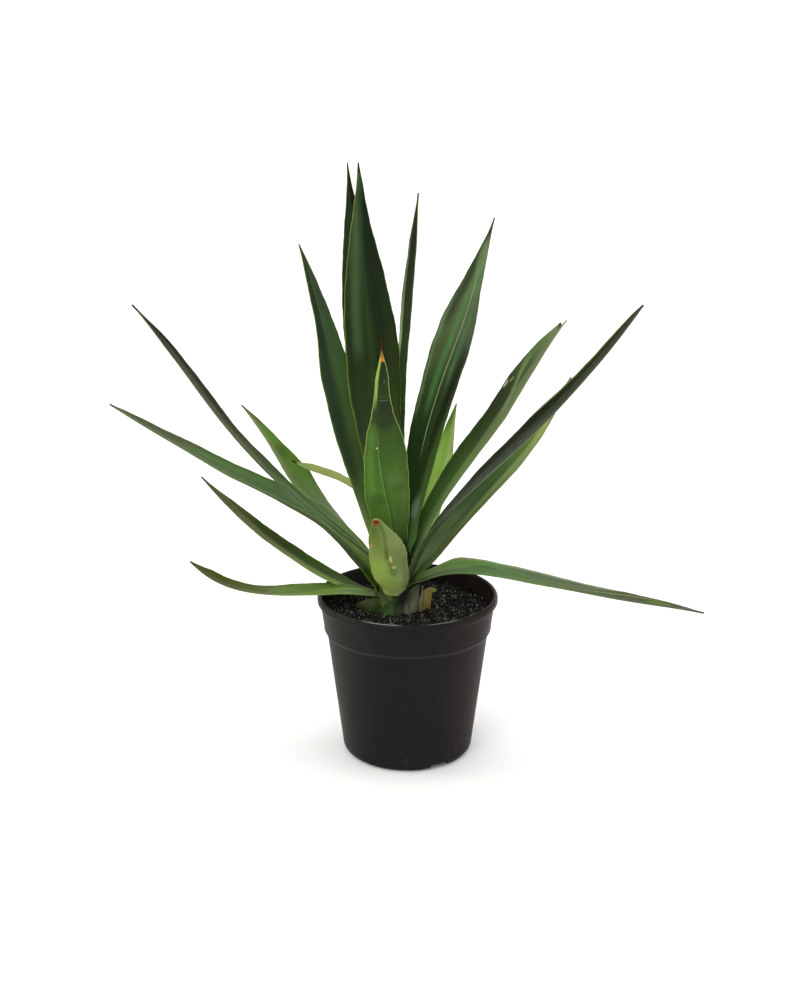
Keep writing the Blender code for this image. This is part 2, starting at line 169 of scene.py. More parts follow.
LEAVES = (
    Leaf(
        "leaf_far_left_high", "leaf_dark", 209, -2, 161, (45, 60, 18, 40), 314, 31, (4, 35),
        "586840 305820 384028 404030 080808", "305808 305810 404820 182008 101808",
        outline=(
            (0.15, 11.5, 11.5), (0.3, 14, 14.5), (0.45, 15.5, 15.5), (0.6, 13, 10.5), (0.75, 8.5, 11),
            (0.88, 5.5, 6), (0.95, 2, 2),
        ),
        details=(
            # The dark strip along the upper margin is painted shade on the far wall of the fold.
            Stripe(0.92, 0.95, 2.5, "33341F", 0.42, 0.97, 0.6, 0.8),
            Stripe(0.3, 0.45, 5, "5C823C", 0.05, 0.42),
            Stripe(0.1, 0.25, 1, "8E9A6A", 0.45, 0.9, 0.4, 0.6),
        ),
        shine=0.06,
    ),
    Leaf(
        "leaf_far_left_long", "leaf_mid", 178, 2, 140, (18, 80, 61, 56), 272, 41, (20, -7),
        "689820 486020 385810 506830 202810", "A8C868 688058 305010 505830 203008",
        outline=(
            (0.15, 20.5, 14), (0.3, 12.5, 15.5), (0.45, 18.5, 14), (0.6, 29, 11.5), (0.75, 15, 12.5),
            (0.88, 9, 10), (0.95, 4.5, 5.5),
        ),
        details=(
            Stripe(-0.6, -0.8, 9, "34481E", 0.02, 0.45, 0.6),
            # A painted crease along the fold: a pale lit line and a dark shadow line beside it.
            Stripe(-0.1, -0.55, 1.2, "A3B884", 0.12, 0.55, 0.6, 0.6),
            Stripe(-0.22, -0.66, 1.3, "2A3818", 0.12, 0.58, 0.6, 0.6),
            Stripe(-0.6, 0, 1.8, "3C5024", 0.6, 0.96, 0.55, 0.6),
            Stripe(0.5, 0.4, 7, "56833A", 0.45, 0.75),
        ),
    ),
    Leaf(
        "leaf_left_low", "leaf_mid", 171, -2, 131, (75, 58, 49, 45), 181, 34, (-4, 5),
        "88B030 A0C038 708030 687030 202008", "202818 608020 203808 586020 484818",
        outline=(
            (0.15, 14, 11.5), (0.3, 17, 13), (0.45, 14.5, 13.5), (0.6, 15, 11), (0.75, 11, 8),
            (0.88, 7, 4), (0.95, 3.5, 1.5),
        ),
        details=(
            Stripe(0.3, 0.5, 8, "26440F", 0.22, 0.72, 0.55, 0.95),
            Stripe(-0.5, -0.5, 6, "7A9638", 0.22, 0.6), Mark(0.26, -0.5, 24, 9, "86A63A"),
            Stripe(-0.93, -0.93, 1.8, "B0BC98", 0.25, 0.7, 0.45, 0.8),
            Stripe(-0.1, 0.3, 3, "7C8C4A", 0.62, 0.9, 0.4, 0.8),
        ),
        shine=0.1, fold_at=-0.1, fold_soft=0.25,
    ),
    Leaf(
        "leaf_left_level", "leaf_mid", 198, -19, 135, (65, 109, 87, 41), 164, 28, (2, 1),
        "203808 90B848 687840 506020 504820", "506810 709840 687848 505810 485008",
        outline=(
            (0.15, 10.5, 11), (0.3, 13, 12.5), (0.45, 10, 12.5), (0.6, 8.5, 10), (0.75, 8.5, 9.5),
            (0.88, 5, 9.5), (0.95, 2.5, 5),
        ),
        details=(
            Stripe(0.5, 0, 3.5, "9ABE62", 0.08, 0.34, 0.55), Mark(0.24, 0.8, 30, 5, "3A6430", 0.4),
            Stripe(-0.6, -0.75, 4, "9CA860", 0.15, 0.6),
            Stripe(0.7, 0.65, 2, "4E5A1C", 0.62, 0.95, 0.5, 0.8), Mark(0.5, 0.4, 26, 9, "7CA04A", 0.45),
        ),
        tip="4A3020",
    ),
    Leaf(
        "leaf_left_pale", "leaf_mid", 142, 1, 152, (70, 56, 28, 57), 199, 34, (-14, -7),
        "609030 689838 709840 506020 586020", "B0A898 A8A898 508020 587828 504818",
        outline=(
            (0.15, 12, 12), (0.3, 14.5, 14.5), (0.45, 15.5, 16), (0.6, 13.5, 18.5), (0.75, 8, 11.5),
            (0.88, 5.5, 5.5), (0.95, 3, 2),
        ),
        details=(
            Stripe(0.2, -0.95, 2.6, "94AC74", 0.42, 0.62, 0.6),
            Stripe(-0.75, -0.55, 3.5, "98A27A", 0.6, 0.95),
            Stripe(-0.3, -0.1, 2, "84A052", 0.6, 0.92, 0.4), Mark(0.82, 0.5, 26, 12, "5A962C", 0.5),
            Mark(0.72, 0.3, 14, 10, "36561E", 0.5), Stripe(0.9, 0.9, 1.6, "5A4E1E", 0.5, 0.97, 0.4, 0.8),
        ),
    ),
    Leaf(
        "leaf_back_arching", "leaf_pale", 100, 85, 145, (24, 14, 106, 62), 148, 14, (-6, 20),
        "A0B078 A0B870 98B060 98A050 789848", "B8C080 B0C078 A8B868 A8B068 88A050",
        outline=(
            (0.15, 7, 7), (0.3, 7, 7), (0.45, 5.5, 5.5), (0.6, 5, 5), (0.75, 5, 5), (0.88, 5, 5),
            (0.95, 2, 2),
        ),
        edge="C8D48C",
    ),
    Leaf(
        "leaf_tall_left", "leaf_dark", 140, -1, 163, (22, 24, 9, 26), 270, 39, (-1, 6),
        "C0E080 385030 405838 304020 283818", "688048 708048 608840 485038 304030",
        outline=(
            (0.15, 14, 14), (0.3, 18.5, 17.5), (0.45, 20.5, 18.5), (0.6, 19, 16.5), (0.68, 12.5, 13.5),
            (0.75, 8, 10.5), (0.88, 5.5, 6), (0.95, 2.5, 2.5),
        ),
        details=(
            Stripe(0.35, 0.5, 8, "35613A", 0.25, 0.8, 0.4, 0.95), Mark(0.2, 0, 42, 16, "568A34", 0.55),
            Stripe(-0.6, -0.5, 8, "1C3026", 0.25, 0.9, 0.4, 0.95),
            Stripe(0.1, 0.05, 1.2, "4E7A48", 0.3, 0.92, 0.4, 0.6),
        ),
        edge="A4C23C", edge_strength=0.5, edge_wide=0.4, tip="30201A",
    ),
    Leaf(
        "leaf_tall_behind", "leaf_dark", 108, 0, 155, (23, 24, 22, 14), 344, 40, (-1, 2),
        "182810 182810 182810 283820 202818", "081808 081808 081808 081808 101008",
        outline=(
            (0.08, 12.5, 12.5), (0.15, 14.5, 14.5), (0.3, 18, 18), (0.45, 19.5, 20), (0.6, 18.5, 19),
            (0.75, 13.5, 13), (0.88, 5.5, 6), (0.95, 2, 2),
        ),
        tip="2C1E1A", tip_long=9,
    ),
    Leaf(
        "leaf_tall_centre", "leaf_dark", 118, -2, 176, (17, 16, 12, -2), 314, 47, (-4, 9),
        "406030 405030 203010 283018 484030", "405820 405020 203010 203018 080808",
        outline=(
            (0.1, 9, 10), (0.2, 15, 16), (0.3, 20, 19.5), (0.4, 23, 23), (0.5, 22, 25.5), (0.6, 20, 23.5),
            (0.7, 16, 19), (0.8, 9.5, 12), (0.9, 4, 6), (0.95, 1.5, 3.5),
        ),
        details=(
            Stripe(-0.45, -0.35, 9, "4E6E44", 0.5, 1, 0.55), Stripe(0.45, 0.5, 8, "141E10", 0.35, 0.95),
            Stripe(0.1, 0.05, 4, "2E4A26", 0.4, 0.9, 0.45),
            Stripe(-0.8, -0.75, 3, "1C2A16", 0.3, 0.7, 0.4),
        ),
        root_share=0.3, fold_at=-0.05, edge="98B23C", edge_strength=0.55, edge_wide=0.4, tip="2A1A16",
        tip_long=10,
    ),
    Leaf(
        "leaf_slim_behind", "leaf_dark", 91, -24, 165, (17, 22, 25, 12), 305, 15, (16, 37),
        "A8C880 C0E098 D8F0B0 384020 506828", "405840 405038 405828 101808 101808",
        outline=(
            (0.15, 5.5, 5.5), (0.3, 6.5, 6.5), (0.45, 6.5, 5.5), (0.6, 5.5, 5.5), (0.75, 7, 7),
            (0.88, 4.5, 5), (0.95, 2, 2.5),
        ),
        widest_at=0.6, fold_at=-0.55, fold_soft=0.12, edge="90A850", edge_strength=0.5, tip="2A1C18",
    ),
    Leaf(
        "leaf_broad_right", "leaf_dark", 41, -1, 169, (10, 15, 30, 22), 286, 42, (-1, -6),
        "305820 102810 203808 687850 080808", "78A860 485820 101010 607050 604848",
        outline=(
            (0.1, 7.5, 10), (0.2, 12, 14.5), (0.3, 16.5, 17), (0.4, 18.5, 19.5), (0.5, 18.5, 22),
            (0.6, 19.5, 24), (0.7, 17.5, 20), (0.8, 11, 12), (0.9, 4.5, 5), (0.95, 1.5, 2.5),
        ),
        details=(
            # The pale bluish mark near the root is a painted highlight.
            Stripe(0.75, 0.9, 4, "3E6A2C", 0.12, 0.45, 0.4), Mark(0.14, 0.35, 20, 9, "93A896"),
            Stripe(0.2, 0.9, 1.6, "7A9458", 0.02, 0.13, 0.5, 0.6),
            Stripe(-0.15, 0.28, 0.7, "A4C08A", 0.3, 0.85, 0.75, 0.3),
            Stripe(-0.4, 0.05, 4.5, "4E8444", 0.42, 0.88, 0.55, 0.95),
            Stripe(0.3, 0.75, 4, "4C8042", 0.5, 0.92, 0.55, 0.95),
            Stripe(0.15, 0.75, 7, "0C1A0A", 0.16, 0.62, 0.7),
            Stripe(-0.7, -0.5, 7, "16220E", 0.66, 1, 0.65, 0.95),
            Stripe(-0.9, -0.88, 2.5, "688A58", 0.4, 0.75), Mark(0.88, 0.25, 34, 9, "7A9A62", 0.45),
        ),
        root_share=0.45, widest_at=0.6, fold_at=0.1, edge="5E7A44", gloss=0.36, tip="4A2C22",
    ),
    Leaf(
        "leaf_young_right", "leaf_pale", 62, 0, 143, (44, 41, 33, 25), 163, 25, (3, 4),
        "709048 88B050 A8D058 A0D060 406010", "B0C878 B0D878 D8F090 A8D068 808858",
        outline=(
            (0.4, 13, 12.5), (0.5, 12.5, 12.5), (0.6, 11.5, 11.5), (0.7, 9, 9.5), (0.8, 7, 6),
            (0.9, 4.5, 3), (0.95, 2.5, 1.5),
        ),
        details=(
            Stripe(0.1, -0.1, 5, "92C24A", 0.55, 0.85, 0.55),
            Stripe(-0.8, -0.6, 4, "44641C", 0.84, 0.99, 0.6),
            Stripe(0.85, 0.8, 2.5, "AEBE84", 0.7, 0.95, 0.5, 0.8),
        ),
        edge="B4CC78", tip="6A4A2C", tip_long=5,
    ),
    Leaf(
        "leaf_split_tip", "leaf_dark", 22, -1, 163, (17, 56, 26, 43), 238, 40, (-4, 5),
        "689040 507830 304010 182008 789058", "708060 80A048 607838 687848 606838",
        outline=(
            (0.15, 11.5, 13), (0.3, 15.5, 13.5), (0.45, 17, 18), (0.6, 15.5, 27), (0.75, 17.5, 16.5),
            (0.88, 12.5, 10.5), (0.95, 7.5, 7.5), (1, 3.5, 3.5),
        ),
        details=(
            Stripe(0.45, 0.4, 8, "5C9038", 0.14, 0.42),
            Stripe(0, 0.15, 1.2, "1C2C12", 0.42, 0.62, 0.5, 0.5),
            Stripe(0.2, -0.75, 4.5, "7C9C60", 0.6, 0.86, 0.6), Stripe(0.75, 0.8, 2.5, "889A70", 0.3, 1),
            Stripe(0.9, 0.88, 1.2, "3A4A2C", 0.2, 0.9, 0.4, 0.6),
            Mark(0.71, -0.78, 11, 1.3, "6A5A44", 0.9), Mark(0.705, -0.88, 8, 1.6, "D8D4C0", 0.85),
            Mark(0.73, -0.7, 6, 1.2, "C9B68A", 0.8),
        ),
        fold_soft=0.12, tip="3A3024", tip_long=4, split=9.0,
    ),
    Leaf(
        "leaf_long_right", "leaf_dark", -37, 7, 152, (19, 62, 38, 35), 319, 42, (-18, -31),
        "182808 182808 182008 182008 202808", "687050 101808 080808 202808 101808",
        outline=(
            (0.15, 17.5, 17), (0.3, 16, 21), (0.45, 18.5, 21.5), (0.6, 18.5, 18.5), (0.75, 13, 12),
            (0.88, 8.5, 7.5), (0.95, 5.5, 5), (0.98, 3.5, 3),
        ),
        details=(
            Stripe(0.85, 0.9, 3, "4A6A34", 0.05, 0.5), Mark(0.6, 0.3, 30, 8, "56702A", 0.3),
            Stripe(-0.95, -0.95, 1.6, "98A650", 0.6, 0.99, 0.6, 0.8),
            Stripe(-0.4, -0.3, 1, "5C6A44", 0.3, 0.95, 0.35, 0.6),
        ),
        root_share=0.6, shine=0.02, gloss=0.3, fold_at=0.15, fold_soft=0.15, edge="8C9A5C",
        edge_strength=0.3, tip="3A3A1C", tip_long=3,
    ),
    Leaf(
        "leaf_right_behind", "leaf_dark", 6, 2, 151, (40, 38, 52, 21), 210, 36, (-15, -18),
        "D0F0A0 587048 385828 789848 686840", "80A030 506028 708850 A0B070 788058",
        outline=(
            (0.15, 13, 14.5), (0.3, 16.5, 12), (0.45, 18, 13.5), (0.6, 17.5, 16), (0.75, 13.5, 10.5),
            (0.88, 8, 4.5), (0.95, 3.5, 1.5),
        ),
        details=(
            Stripe(0.45, 0.35, 4, "86A654", 0.2, 0.75), Mark(0.76, 0.4, 24, 9, "A4B854"),
            Mark(0.06, 0.5, 22, 12, "588A2C"), Stripe(-0.15, 0.1, 1.2, "20360F", 0.2, 0.75, 0.5, 0.6),
            Stripe(0.85, 0.85, 2, "6C7A44", 0.3, 0.85, 0.4, 0.8),
        ),
        fold_at=0.1, fold_soft=0.2,
    ),
    Leaf(
        "leaf_drooping_right", "leaf_mid", -18, 4, 144, (44, 134, 81, 98), 244, 40, (-5, 11),
        "A0C060 587840 607058 404818 303808", "080808 508828 486028 304010 081008",
        outline=(
            (0.15, 18.5, 17.5), (0.3, 13.5, 26), (0.45, 11.5, 25), (0.6, 12.5, 13.5), (0.75, 11.5, 11.5),
            (0.88, 8.5, 7), (0.95, 4, 3),
        ),
        details=(
            Stripe(-0.5, -0.75, 6, "609A3E", 0.08, 0.34, 0.55), Mark(0.26, -0.25, 26, 6, "345A22", 0.55),
            Stripe(-0.9, -0.9, 1.6, "B4BC96", 0.1, 0.7, 0.5, 0.8),
            Stripe(0.35, -0.8, 1.6, "9EA66C", 0.42, 0.86, 0.5, 0.6),
            Stripe(0.1, -0.95, 1.2, "98A064", 0.42, 0.74, 0.45, 0.6),
            Mark(0.85, -0.3, 22, 8, "6E8E28", 0.45), Stripe(0.75, 0.7, 3, "3C4C22", 0.1, 0.5),
        ),
        root_share=0.55, shine=0.08, fold_at=-0.1, fold_soft=0.3, edge="98A66A",
    ),
    Leaf(
        "leaf_front_upright", "leaf_mid", 258, 12, 173, (26, 29, 18, 12), 211, 37, (-3, -5),
        "486030 608038 406020 304020 082010", "507830 588030 406020 304020 081810",
        outline=(
            (0.2, 15.5, 16), (0.3, 17, 19), (0.4, 18, 17.5), (0.5, 17.5, 16), (0.6, 14.5, 13.5),
            (0.68, 9.5, 9.5), (0.73, 7.5, 7), (0.76, 6, 6.5), (0.8, 5.5, 5.5), (0.86, 4.5, 4.5),
            (0.92, 2.5, 2), (0.93, 1, 1), (0.97, 0.5, 0.5),
        ),
        details=(
            Stripe(-0.12, 0.33, 0.9, "7C9E5C", 0.05, 0.62, 0.5, 0.6),
            Stripe(-0.2, 0.25, 1.8, "36521F", 0.05, 0.64, 0.5, 0.6),
            # The two dark marks at 0.69 and 0.745 are painted shade on the narrow neck of the blade.
            Stripe(0.68, 0.7, 6, "62903A", 0.3, 0.66), Mark(0.69, -0.08, 26, 16, "2C3A1E", 0.85),
            Mark(0.745, -0.15, 12, 10, "28341C", 0.7), Mark(0.758, -0.1, 1, 9, "66704C"),
            Mark(0.775, -0.05, 0.9, 8, "5A6440"), Mark(0.835, -0.3, 3, 1, "7C8450", 0.5),
            Stripe(0.75, 0.7, 1.8, "A2BC50", 0.74, 0.97, 0.8, 0.6),
            Mark(0.4, -0.35, 15, 13, "5C7C44", 0.4), Mark(0.3, 0.4, 13, 12, "3C5A26", 0.4),
            Mark(0.36, -0.6, 9, 10, "3E5E26", 0.35), Mark(0.22, -0.5, 14, 14, "58793C", 0.4),
            Mark(0.55, 0.38, 1.6, 1.6, "D2E294", 0.95), Mark(0.925, 0, 4.5, 9, "D89028", 0.95),
            Mark(0.94, -0.2, 4, 6, "B83A14", 0.9),
        ),
        widest_at=0.4, edge="B4C86C", edge_wide=0.9, edge_strength=0.75, tip="52140C", tip_long=15,
        fold=0.14, gloss=0.46,
    ),
    Leaf(
        "leaf_front_short", "leaf_pale", 262, -16, 140, (28, 30, 27, 42), 97, 33, (-3, -14),
        "F0F0B0 90A860 708848 98A860 508038", "F0F0A8 A0C850 90A058 688038 405818",
        outline=(
            (0, 8.5, 8.5), (0.1, 11.5, 12), (0.2, 13.5, 15), (0.3, 14, 16.5), (0.4, 14.5, 16.5),
            (0.5, 15.5, 15.5), (0.6, 15, 14), (0.7, 13, 12.5), (0.8, 8.5, 10), (0.9, 5.5, 6),
            (0.95, 4, 4.5), (0.99, 3, 3),
        ),
        details=(
            Stripe(-0.6, -0.5, 11, "868F5C", 0.4, 0.95, 0.6, 0.95),
            Stripe(0.05, -0.3, 3.2, "4E6A2C", 0.45, 0.99, 0.7),
            Stripe(-0.85, -0.8, 5, "727C52", 0.05, 0.5, 0.6, 0.95), Mark(0.12, 0.1, 24, 22, "9ABC48"),
            Mark(0.32, -0.15, 12, 6, "5E7834", 0.5), Mark(0.4, -0.03, 7.5, 3, "74683A", 0.65),
            Mark(0.47, -0.13, 8, 2.4, "DCC890", 0.95), Mark(0.365, -0.24, 3.2, 3.4, "CAD29A", 0.9),
            Mark(0.64, 0.93, 7, 2.6, "A8643C", 0.85), Mark(0.625, 0.84, 5, 1, "DCB88C", 0.8),
            Mark(0.958, 0.1, 7.5, 6.5, "A45A2C", 0.9), Mark(0.962, 0.1, 5, 4.6, "7A260C", 1),
        ),
        edge="BCCC78", edge_strength=0.6, tip="9A9A5A", tip_long=0.8, fold=0.12, gloss=0.5, streaks=0.2,
    ),
)


class YuccaPotSettings(bpy.types.PropertyGroup):
    """Sizes and colours of the nursery pot."""

    lip_radius: bpy.props.FloatProperty(
        name="Lip radius", description="Outer radius of the rolled lip",
        default=POT_BOX[1].x, min=0.03, unit="LENGTH",
    )
    height: bpy.props.FloatProperty(
        name="Height", description="Height of the pot",
        default=POT_BOX[1].z, min=0.03, unit="LENGTH",
    )
    sides: bpy.props.IntProperty(
        name="Sides", description="Steps round the pot", default=180, min=24, max=360,
    )
    plastic: bpy.props.FloatVectorProperty(
        name="Plastic", description="Colour of the moulded plastic",
        default=(0.0109, 0.0106, 0.0128), size=3, min=0.0, max=1.0, subtype="COLOR",
    )


class YuccaSoilSettings(bpy.types.PropertyGroup):
    """Size, roughness and colours of the potting soil."""

    mound: bpy.props.FloatProperty(
        name="Mound", description="Rise of the soil from the wall to the stem",
        default=0.0007, unit="LENGTH",
    )
    lumps: bpy.props.FloatProperty(
        name="Lumps", description="Height of the lumps in the surface",
        default=0.0016, unit="LENGTH",
    )
    crumbs: bpy.props.IntProperty(
        name="Crumbs", description="Number of loose crumbs", default=2600, min=0,
    )
    fibres: bpy.props.IntProperty(
        name="Fibres", description="Number of peat fibres", default=1500, min=0,
    )
    perlite: bpy.props.IntProperty(
        name="Perlite", description="Number of white grains", default=900, min=0,
    )
    earth: bpy.props.FloatVectorProperty(
        name="Earth", description="Colour of the soil",
        default=(0.0034, 0.0034, 0.0030), size=3, min=0.0, max=1.0, subtype="COLOR",
    )


class YuccaLeafSettings(bpy.types.PropertyGroup):
    """Thickness and finish shared by all the blades."""

    thickness: bpy.props.FloatProperty(
        name="Thickness", description="Thickness of a blade at its midrib",
        default=0.0015, min=0.0003, unit="LENGTH",
    )
    margin_share: bpy.props.FloatProperty(
        name="Margin thickness", description="Share of the thickness left at the margin",
        default=0.35, min=0.05, max=1.0, subtype="FACTOR",
    )
    brightness: bpy.props.FloatProperty(
        name="Brightness", description="Multiplies the colours of all the blades",
        default=0.74, min=0.1, max=3.0,
    )
    vein_depth: bpy.props.FloatProperty(
        name="Vein depth", description="Depth of the fine lengthways veins",
        default=0.00012, min=0.0, unit="LENGTH",
    )


class YuccaStageSettings(bpy.types.PropertyGroup):
    """Floor, lamps and camera."""

    floor_colour: bpy.props.FloatVectorProperty(
        name="Floor", description="Colour of the floor",
        default=(0.93, 0.93, 0.925), size=3, min=0.0, max=1.0, subtype="COLOR",
    )
    key_power: bpy.props.FloatProperty(
        name="Key power", description="Power of the front lamp", default=11.5, unit="POWER",
    )
    sky: bpy.props.FloatProperty(
        name="Sky", description="Strength of the light from above", default=1.0, min=0.0,
    )
    distance: bpy.props.FloatProperty(
        name="Camera distance", description="From the pot's axis to the camera",
        default=1.236, unit="LENGTH",
    )
    camera_height: bpy.props.FloatProperty(
        name="Camera height", description="Above the floor", default=0.610, unit="LENGTH",
    )
    tilt: bpy.props.FloatProperty(
        name="Camera tilt", description="Downward tilt of the camera",
        default=math.radians(17.57), subtype="ANGLE",
    )
    lens: bpy.props.FloatProperty(
        name="Lens", description="Focal length in millimetres", default=57.24, unit="CAMERA",
    )


def linear(hex_colour, gain=1.0):
    """Scene-linear RGBA of a six-digit display colour."""
    channels = [int(hex_colour[at : at + 2], 16) / 255.0 for at in (0, 2, 4)]
    straight = [c / 12.92 if c <= 0.04045 else ((c + 0.055) / 1.055) ** 2.4 for c in channels]
    return (*[min(1.0, gain * c) for c in straight], 1.0)


class Field:
    """A number that varies over a surface. Arithmetic on it adds Math nodes."""

    def __init__(self, finish, socket):
        self.finish = finish
        self.socket = socket

    def __add__(self, other):
        return self.finish.math("ADD", self, other)

    def __sub__(self, other):
        return self.finish.math("SUBTRACT", self, other)

    def __rsub__(self, other):
        return self.finish.math("SUBTRACT", other, self)

    def __mul__(self, other):
        return self.finish.math("MULTIPLY", self, other)

    __radd__ = __add__
    __rmul__ = __mul__

    def __abs__(self):
        return self.finish.math("ABSOLUTE", self)


class Finish:
    """A node material in the making: each method adds nodes and returns what they give."""

    def __init__(self, name):
        self.material = bpy.data.materials.new(name)
        self.material.use_nodes = True
        self.tree = self.material.node_tree
        self.shader = self.tree.nodes["Principled BSDF"]

    def node(self, kind, **settings):
        made = self.tree.nodes.new(kind)
        for key, value in settings.items():
            setattr(made, key, value)
        return made

    def feed(self, socket, value):
        if isinstance(value, Field):
            value = value.socket
        if isinstance(value, bpy.types.NodeSocket):
            self.tree.links.new(value, socket)
        else:
            socket.default_value = value

    def math(self, operation, *values):
        made = self.node("ShaderNodeMath", operation=operation)
        for socket, value in zip(made.inputs, values):
            self.feed(socket, value)
        return Field(self, made.outputs[0])

    def step(self, value, low, high, start=0.0, end=1.0):
        """start below low, end above high, and a smooth run between."""
        made = self.node("ShaderNodeMapRange", interpolation_type="SMOOTHSTEP")
        for socket, given in zip(made.inputs, (value, low, high, start, end)):
            self.feed(socket, given)
        return Field(self, made.outputs[0])

    def parts(self, socket):
        made = self.node("ShaderNodeSeparateXYZ")
        self.feed(made.inputs[0], socket)
        return [Field(self, out) for out in made.outputs]

    def vector(self, x, y, z):
        made = self.node("ShaderNodeCombineXYZ")
        for socket, value in zip(made.inputs, (x, y, z)):
            self.feed(socket, value)
        return made.outputs[0]

    def attribute(self, name):
        return self.node("ShaderNodeAttribute", attribute_name=name).outputs

    def place(self):
        """Object coordinates, which are metres in the part's frame."""
        return self.node("ShaderNodeTexCoord").outputs["Object"]

    def noise(self, vector, scale, detail, roughness=0.55):
        made = self.node("ShaderNodeTexNoise")
        self.feed(made.inputs["Vector"], vector)
        made.inputs["Scale"].default_value = scale
        made.inputs["Detail"].default_value = detail
        made.inputs["Roughness"].default_value = roughness
        return Field(self, made.outputs[0])

    def mix(self, share, first, second):
        made = self.node("ShaderNodeMix", data_type="RGBA")
        self.feed(made.inputs[0], share)
        self.feed(made.inputs[6], first)
        self.feed(made.inputs[7], second)
        return made.outputs[2]

    def scaled(self, colour, amount):
        """The colour times a number that varies."""
        made = self.node("ShaderNodeVectorMath", operation="SCALE")
        self.feed(made.inputs[0], colour)
        self.feed(made.inputs["Scale"], amount)
        return made.outputs[0]

    def ramp(self, share, colours):
        made = self.node("ShaderNodeValToRGB")
        self.feed(made.inputs[0], share)
        stops = made.color_ramp
        stops.interpolation = "B_SPLINE" if len(colours) > 3 else "LINEAR"
        while len(stops.elements) < len(colours):
            stops.elements.new(0.5)
        for number in range(len(colours)):
            stops.elements[number].position = number / (len(colours) - 1)
        for stop, colour in zip(stops.elements, colours):
            stop.color = colour
        return made.outputs[0]

    def bump(self, height, distance, strength, under=None):
        made = self.node("ShaderNodeBump")
        self.feed(made.inputs["Height"], height)
        made.inputs["Distance"].default_value = distance
        made.inputs["Strength"].default_value = strength
        if under is not None:
            self.feed(made.inputs["Normal"], under)
        return made.outputs[0]

    def done(self, colour, roughness, normal, ior, specular):
        self.feed(self.shader.inputs["Base Color"], colour)
        self.feed(self.shader.inputs["Roughness"], roughness)
        if normal is not None:
            self.feed(self.shader.inputs["Normal"], normal)
        self.shader.inputs["IOR"].default_value = ior
        self.shader.inputs["Specular IOR Level"].default_value = specular
        return self.material


def new_object(name, shaped):
    """A scene object from a bmesh, which it frees."""
    mesh = bpy.data.meshes.new(name)
    shaped.to_mesh(mesh)
    shaped.free()
    made = bpy.data.objects.new(name, mesh)
    bpy.context.scene.collection.objects.link(made)
    return made


def add_piece(name, shaped, material, replaced=(), smooth=True):
    """Makes a bmesh a piece of the visual model that rides on the part's one body."""
    piece = new_object(name, shaped)
    if smooth:
        piece.data.shade_smooth()
    piece.data.materials.append(material)
    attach(piece, BODY)
    if replaced:
        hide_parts(*replaced)
    return piece


def bake_modifiers(piece):
    """Replaces a piece's mesh by what its modifiers make of it."""
    graph = bpy.context.evaluated_depsgraph_get()
    made = bpy.data.meshes.new_from_object(piece.evaluated_get(graph), depsgraph=graph)
    old = piece.data
    piece.modifiers.clear()
    piece.data = made
    made.name = piece.name
    bpy.data.meshes.remove(old)


def thicken(piece, thickness, thin_group="", thin_share=0.0):
    """Gives a sheet its thickness, down to thin_share of it where the group weighs nothing."""
    skin = piece.modifiers.new("thickness", "SOLIDIFY")
    skin.thickness = thickness
    skin.offset = 0.0
    skin.vertex_group = thin_group
    skin.thickness_vertex_group = thin_share
    bake_modifiers(piece)
    piece.data.shade_smooth()


def sheet(layer, along, across):
    """A flat grid from -1 to 1 with a UV map, and a layer of vectors on its vertices."""
    shaped = bmesh.new()
    shaped.loops.layers.uv.new("UVMap")
    vectors = shaped.verts.layers.float_vector.new(layer)
    bmesh.ops.create_grid(shaped, x_segments=along, y_segments=across, size=1.0, calc_uvs=True)
    return shaped, vectors


def join_rings(shaped, rings):
    """Faces between rings of vertices, each ring above the one before."""
    count = len(rings[0])
    for lower, upper in zip(rings, rings[1:]):
        for side in range(count):
            after = (side + 1) % count
            shaped.faces.new((lower[side], lower[after], upper[after], upper[side]))


def spun(profile, sides):
    """A bmesh of revolution about +Z from a profile of (radius, height) in millimetres."""
    shaped = bmesh.new()
    corners = [shaped.verts.new((MM * radius, 0.0, MM * height)) for radius, height in profile]
    edges = [shaped.edges.new(pair) for pair in zip(corners, corners[1:])]
    bmesh.ops.spin(
        shaped, geom=corners + edges, cent=(0.0, 0.0, 0.0), axis=(0.0, 0.0, 1.0),
        angle=2 * math.pi, steps=sides,
    )
    bmesh.ops.remove_doubles(shaped, verts=shaped.verts, dist=0.00001)
    bmesh.ops.recalc_face_normals(shaped, faces=shaped.faces)
    return shaped


# Pot ------------------------------------------------------------------------------------

LIP_DEEP_MM = 7.0
COLLAR_TOP_MM = 72.3
COLLAR_FOOT_MM = 69.5
COLLAR_FOOT_UP_MM = 110.0
BEAD_UP_MM = 109.1  # a fine bead round the collar's foot
STEP_UP_MM = 105.0
BODY_TOP_MM = 66.8
BODY_FOOT_MM = 54.7
WALL_MM = 1.5
HEEL_MM = (6.2, 7.0)  # how far the rounded heel reaches in and up
NOTCH_TURNS_DEG = (-60.5, 59.5, 179.5)
NOTCH_SIZE_M = (0.034, 0.028, 0.0176)
NOTCH_CENTRE_M = (MM * (BODY_FOOT_MM - 3.0), 0.0, -0.0034)


def between(low, high, shares):
    """Points on the straight line from low to high."""
    return [(low[0] + (high[0] - low[0]) * t, low[1] + (high[1] - low[1]) * t) for t in shares]


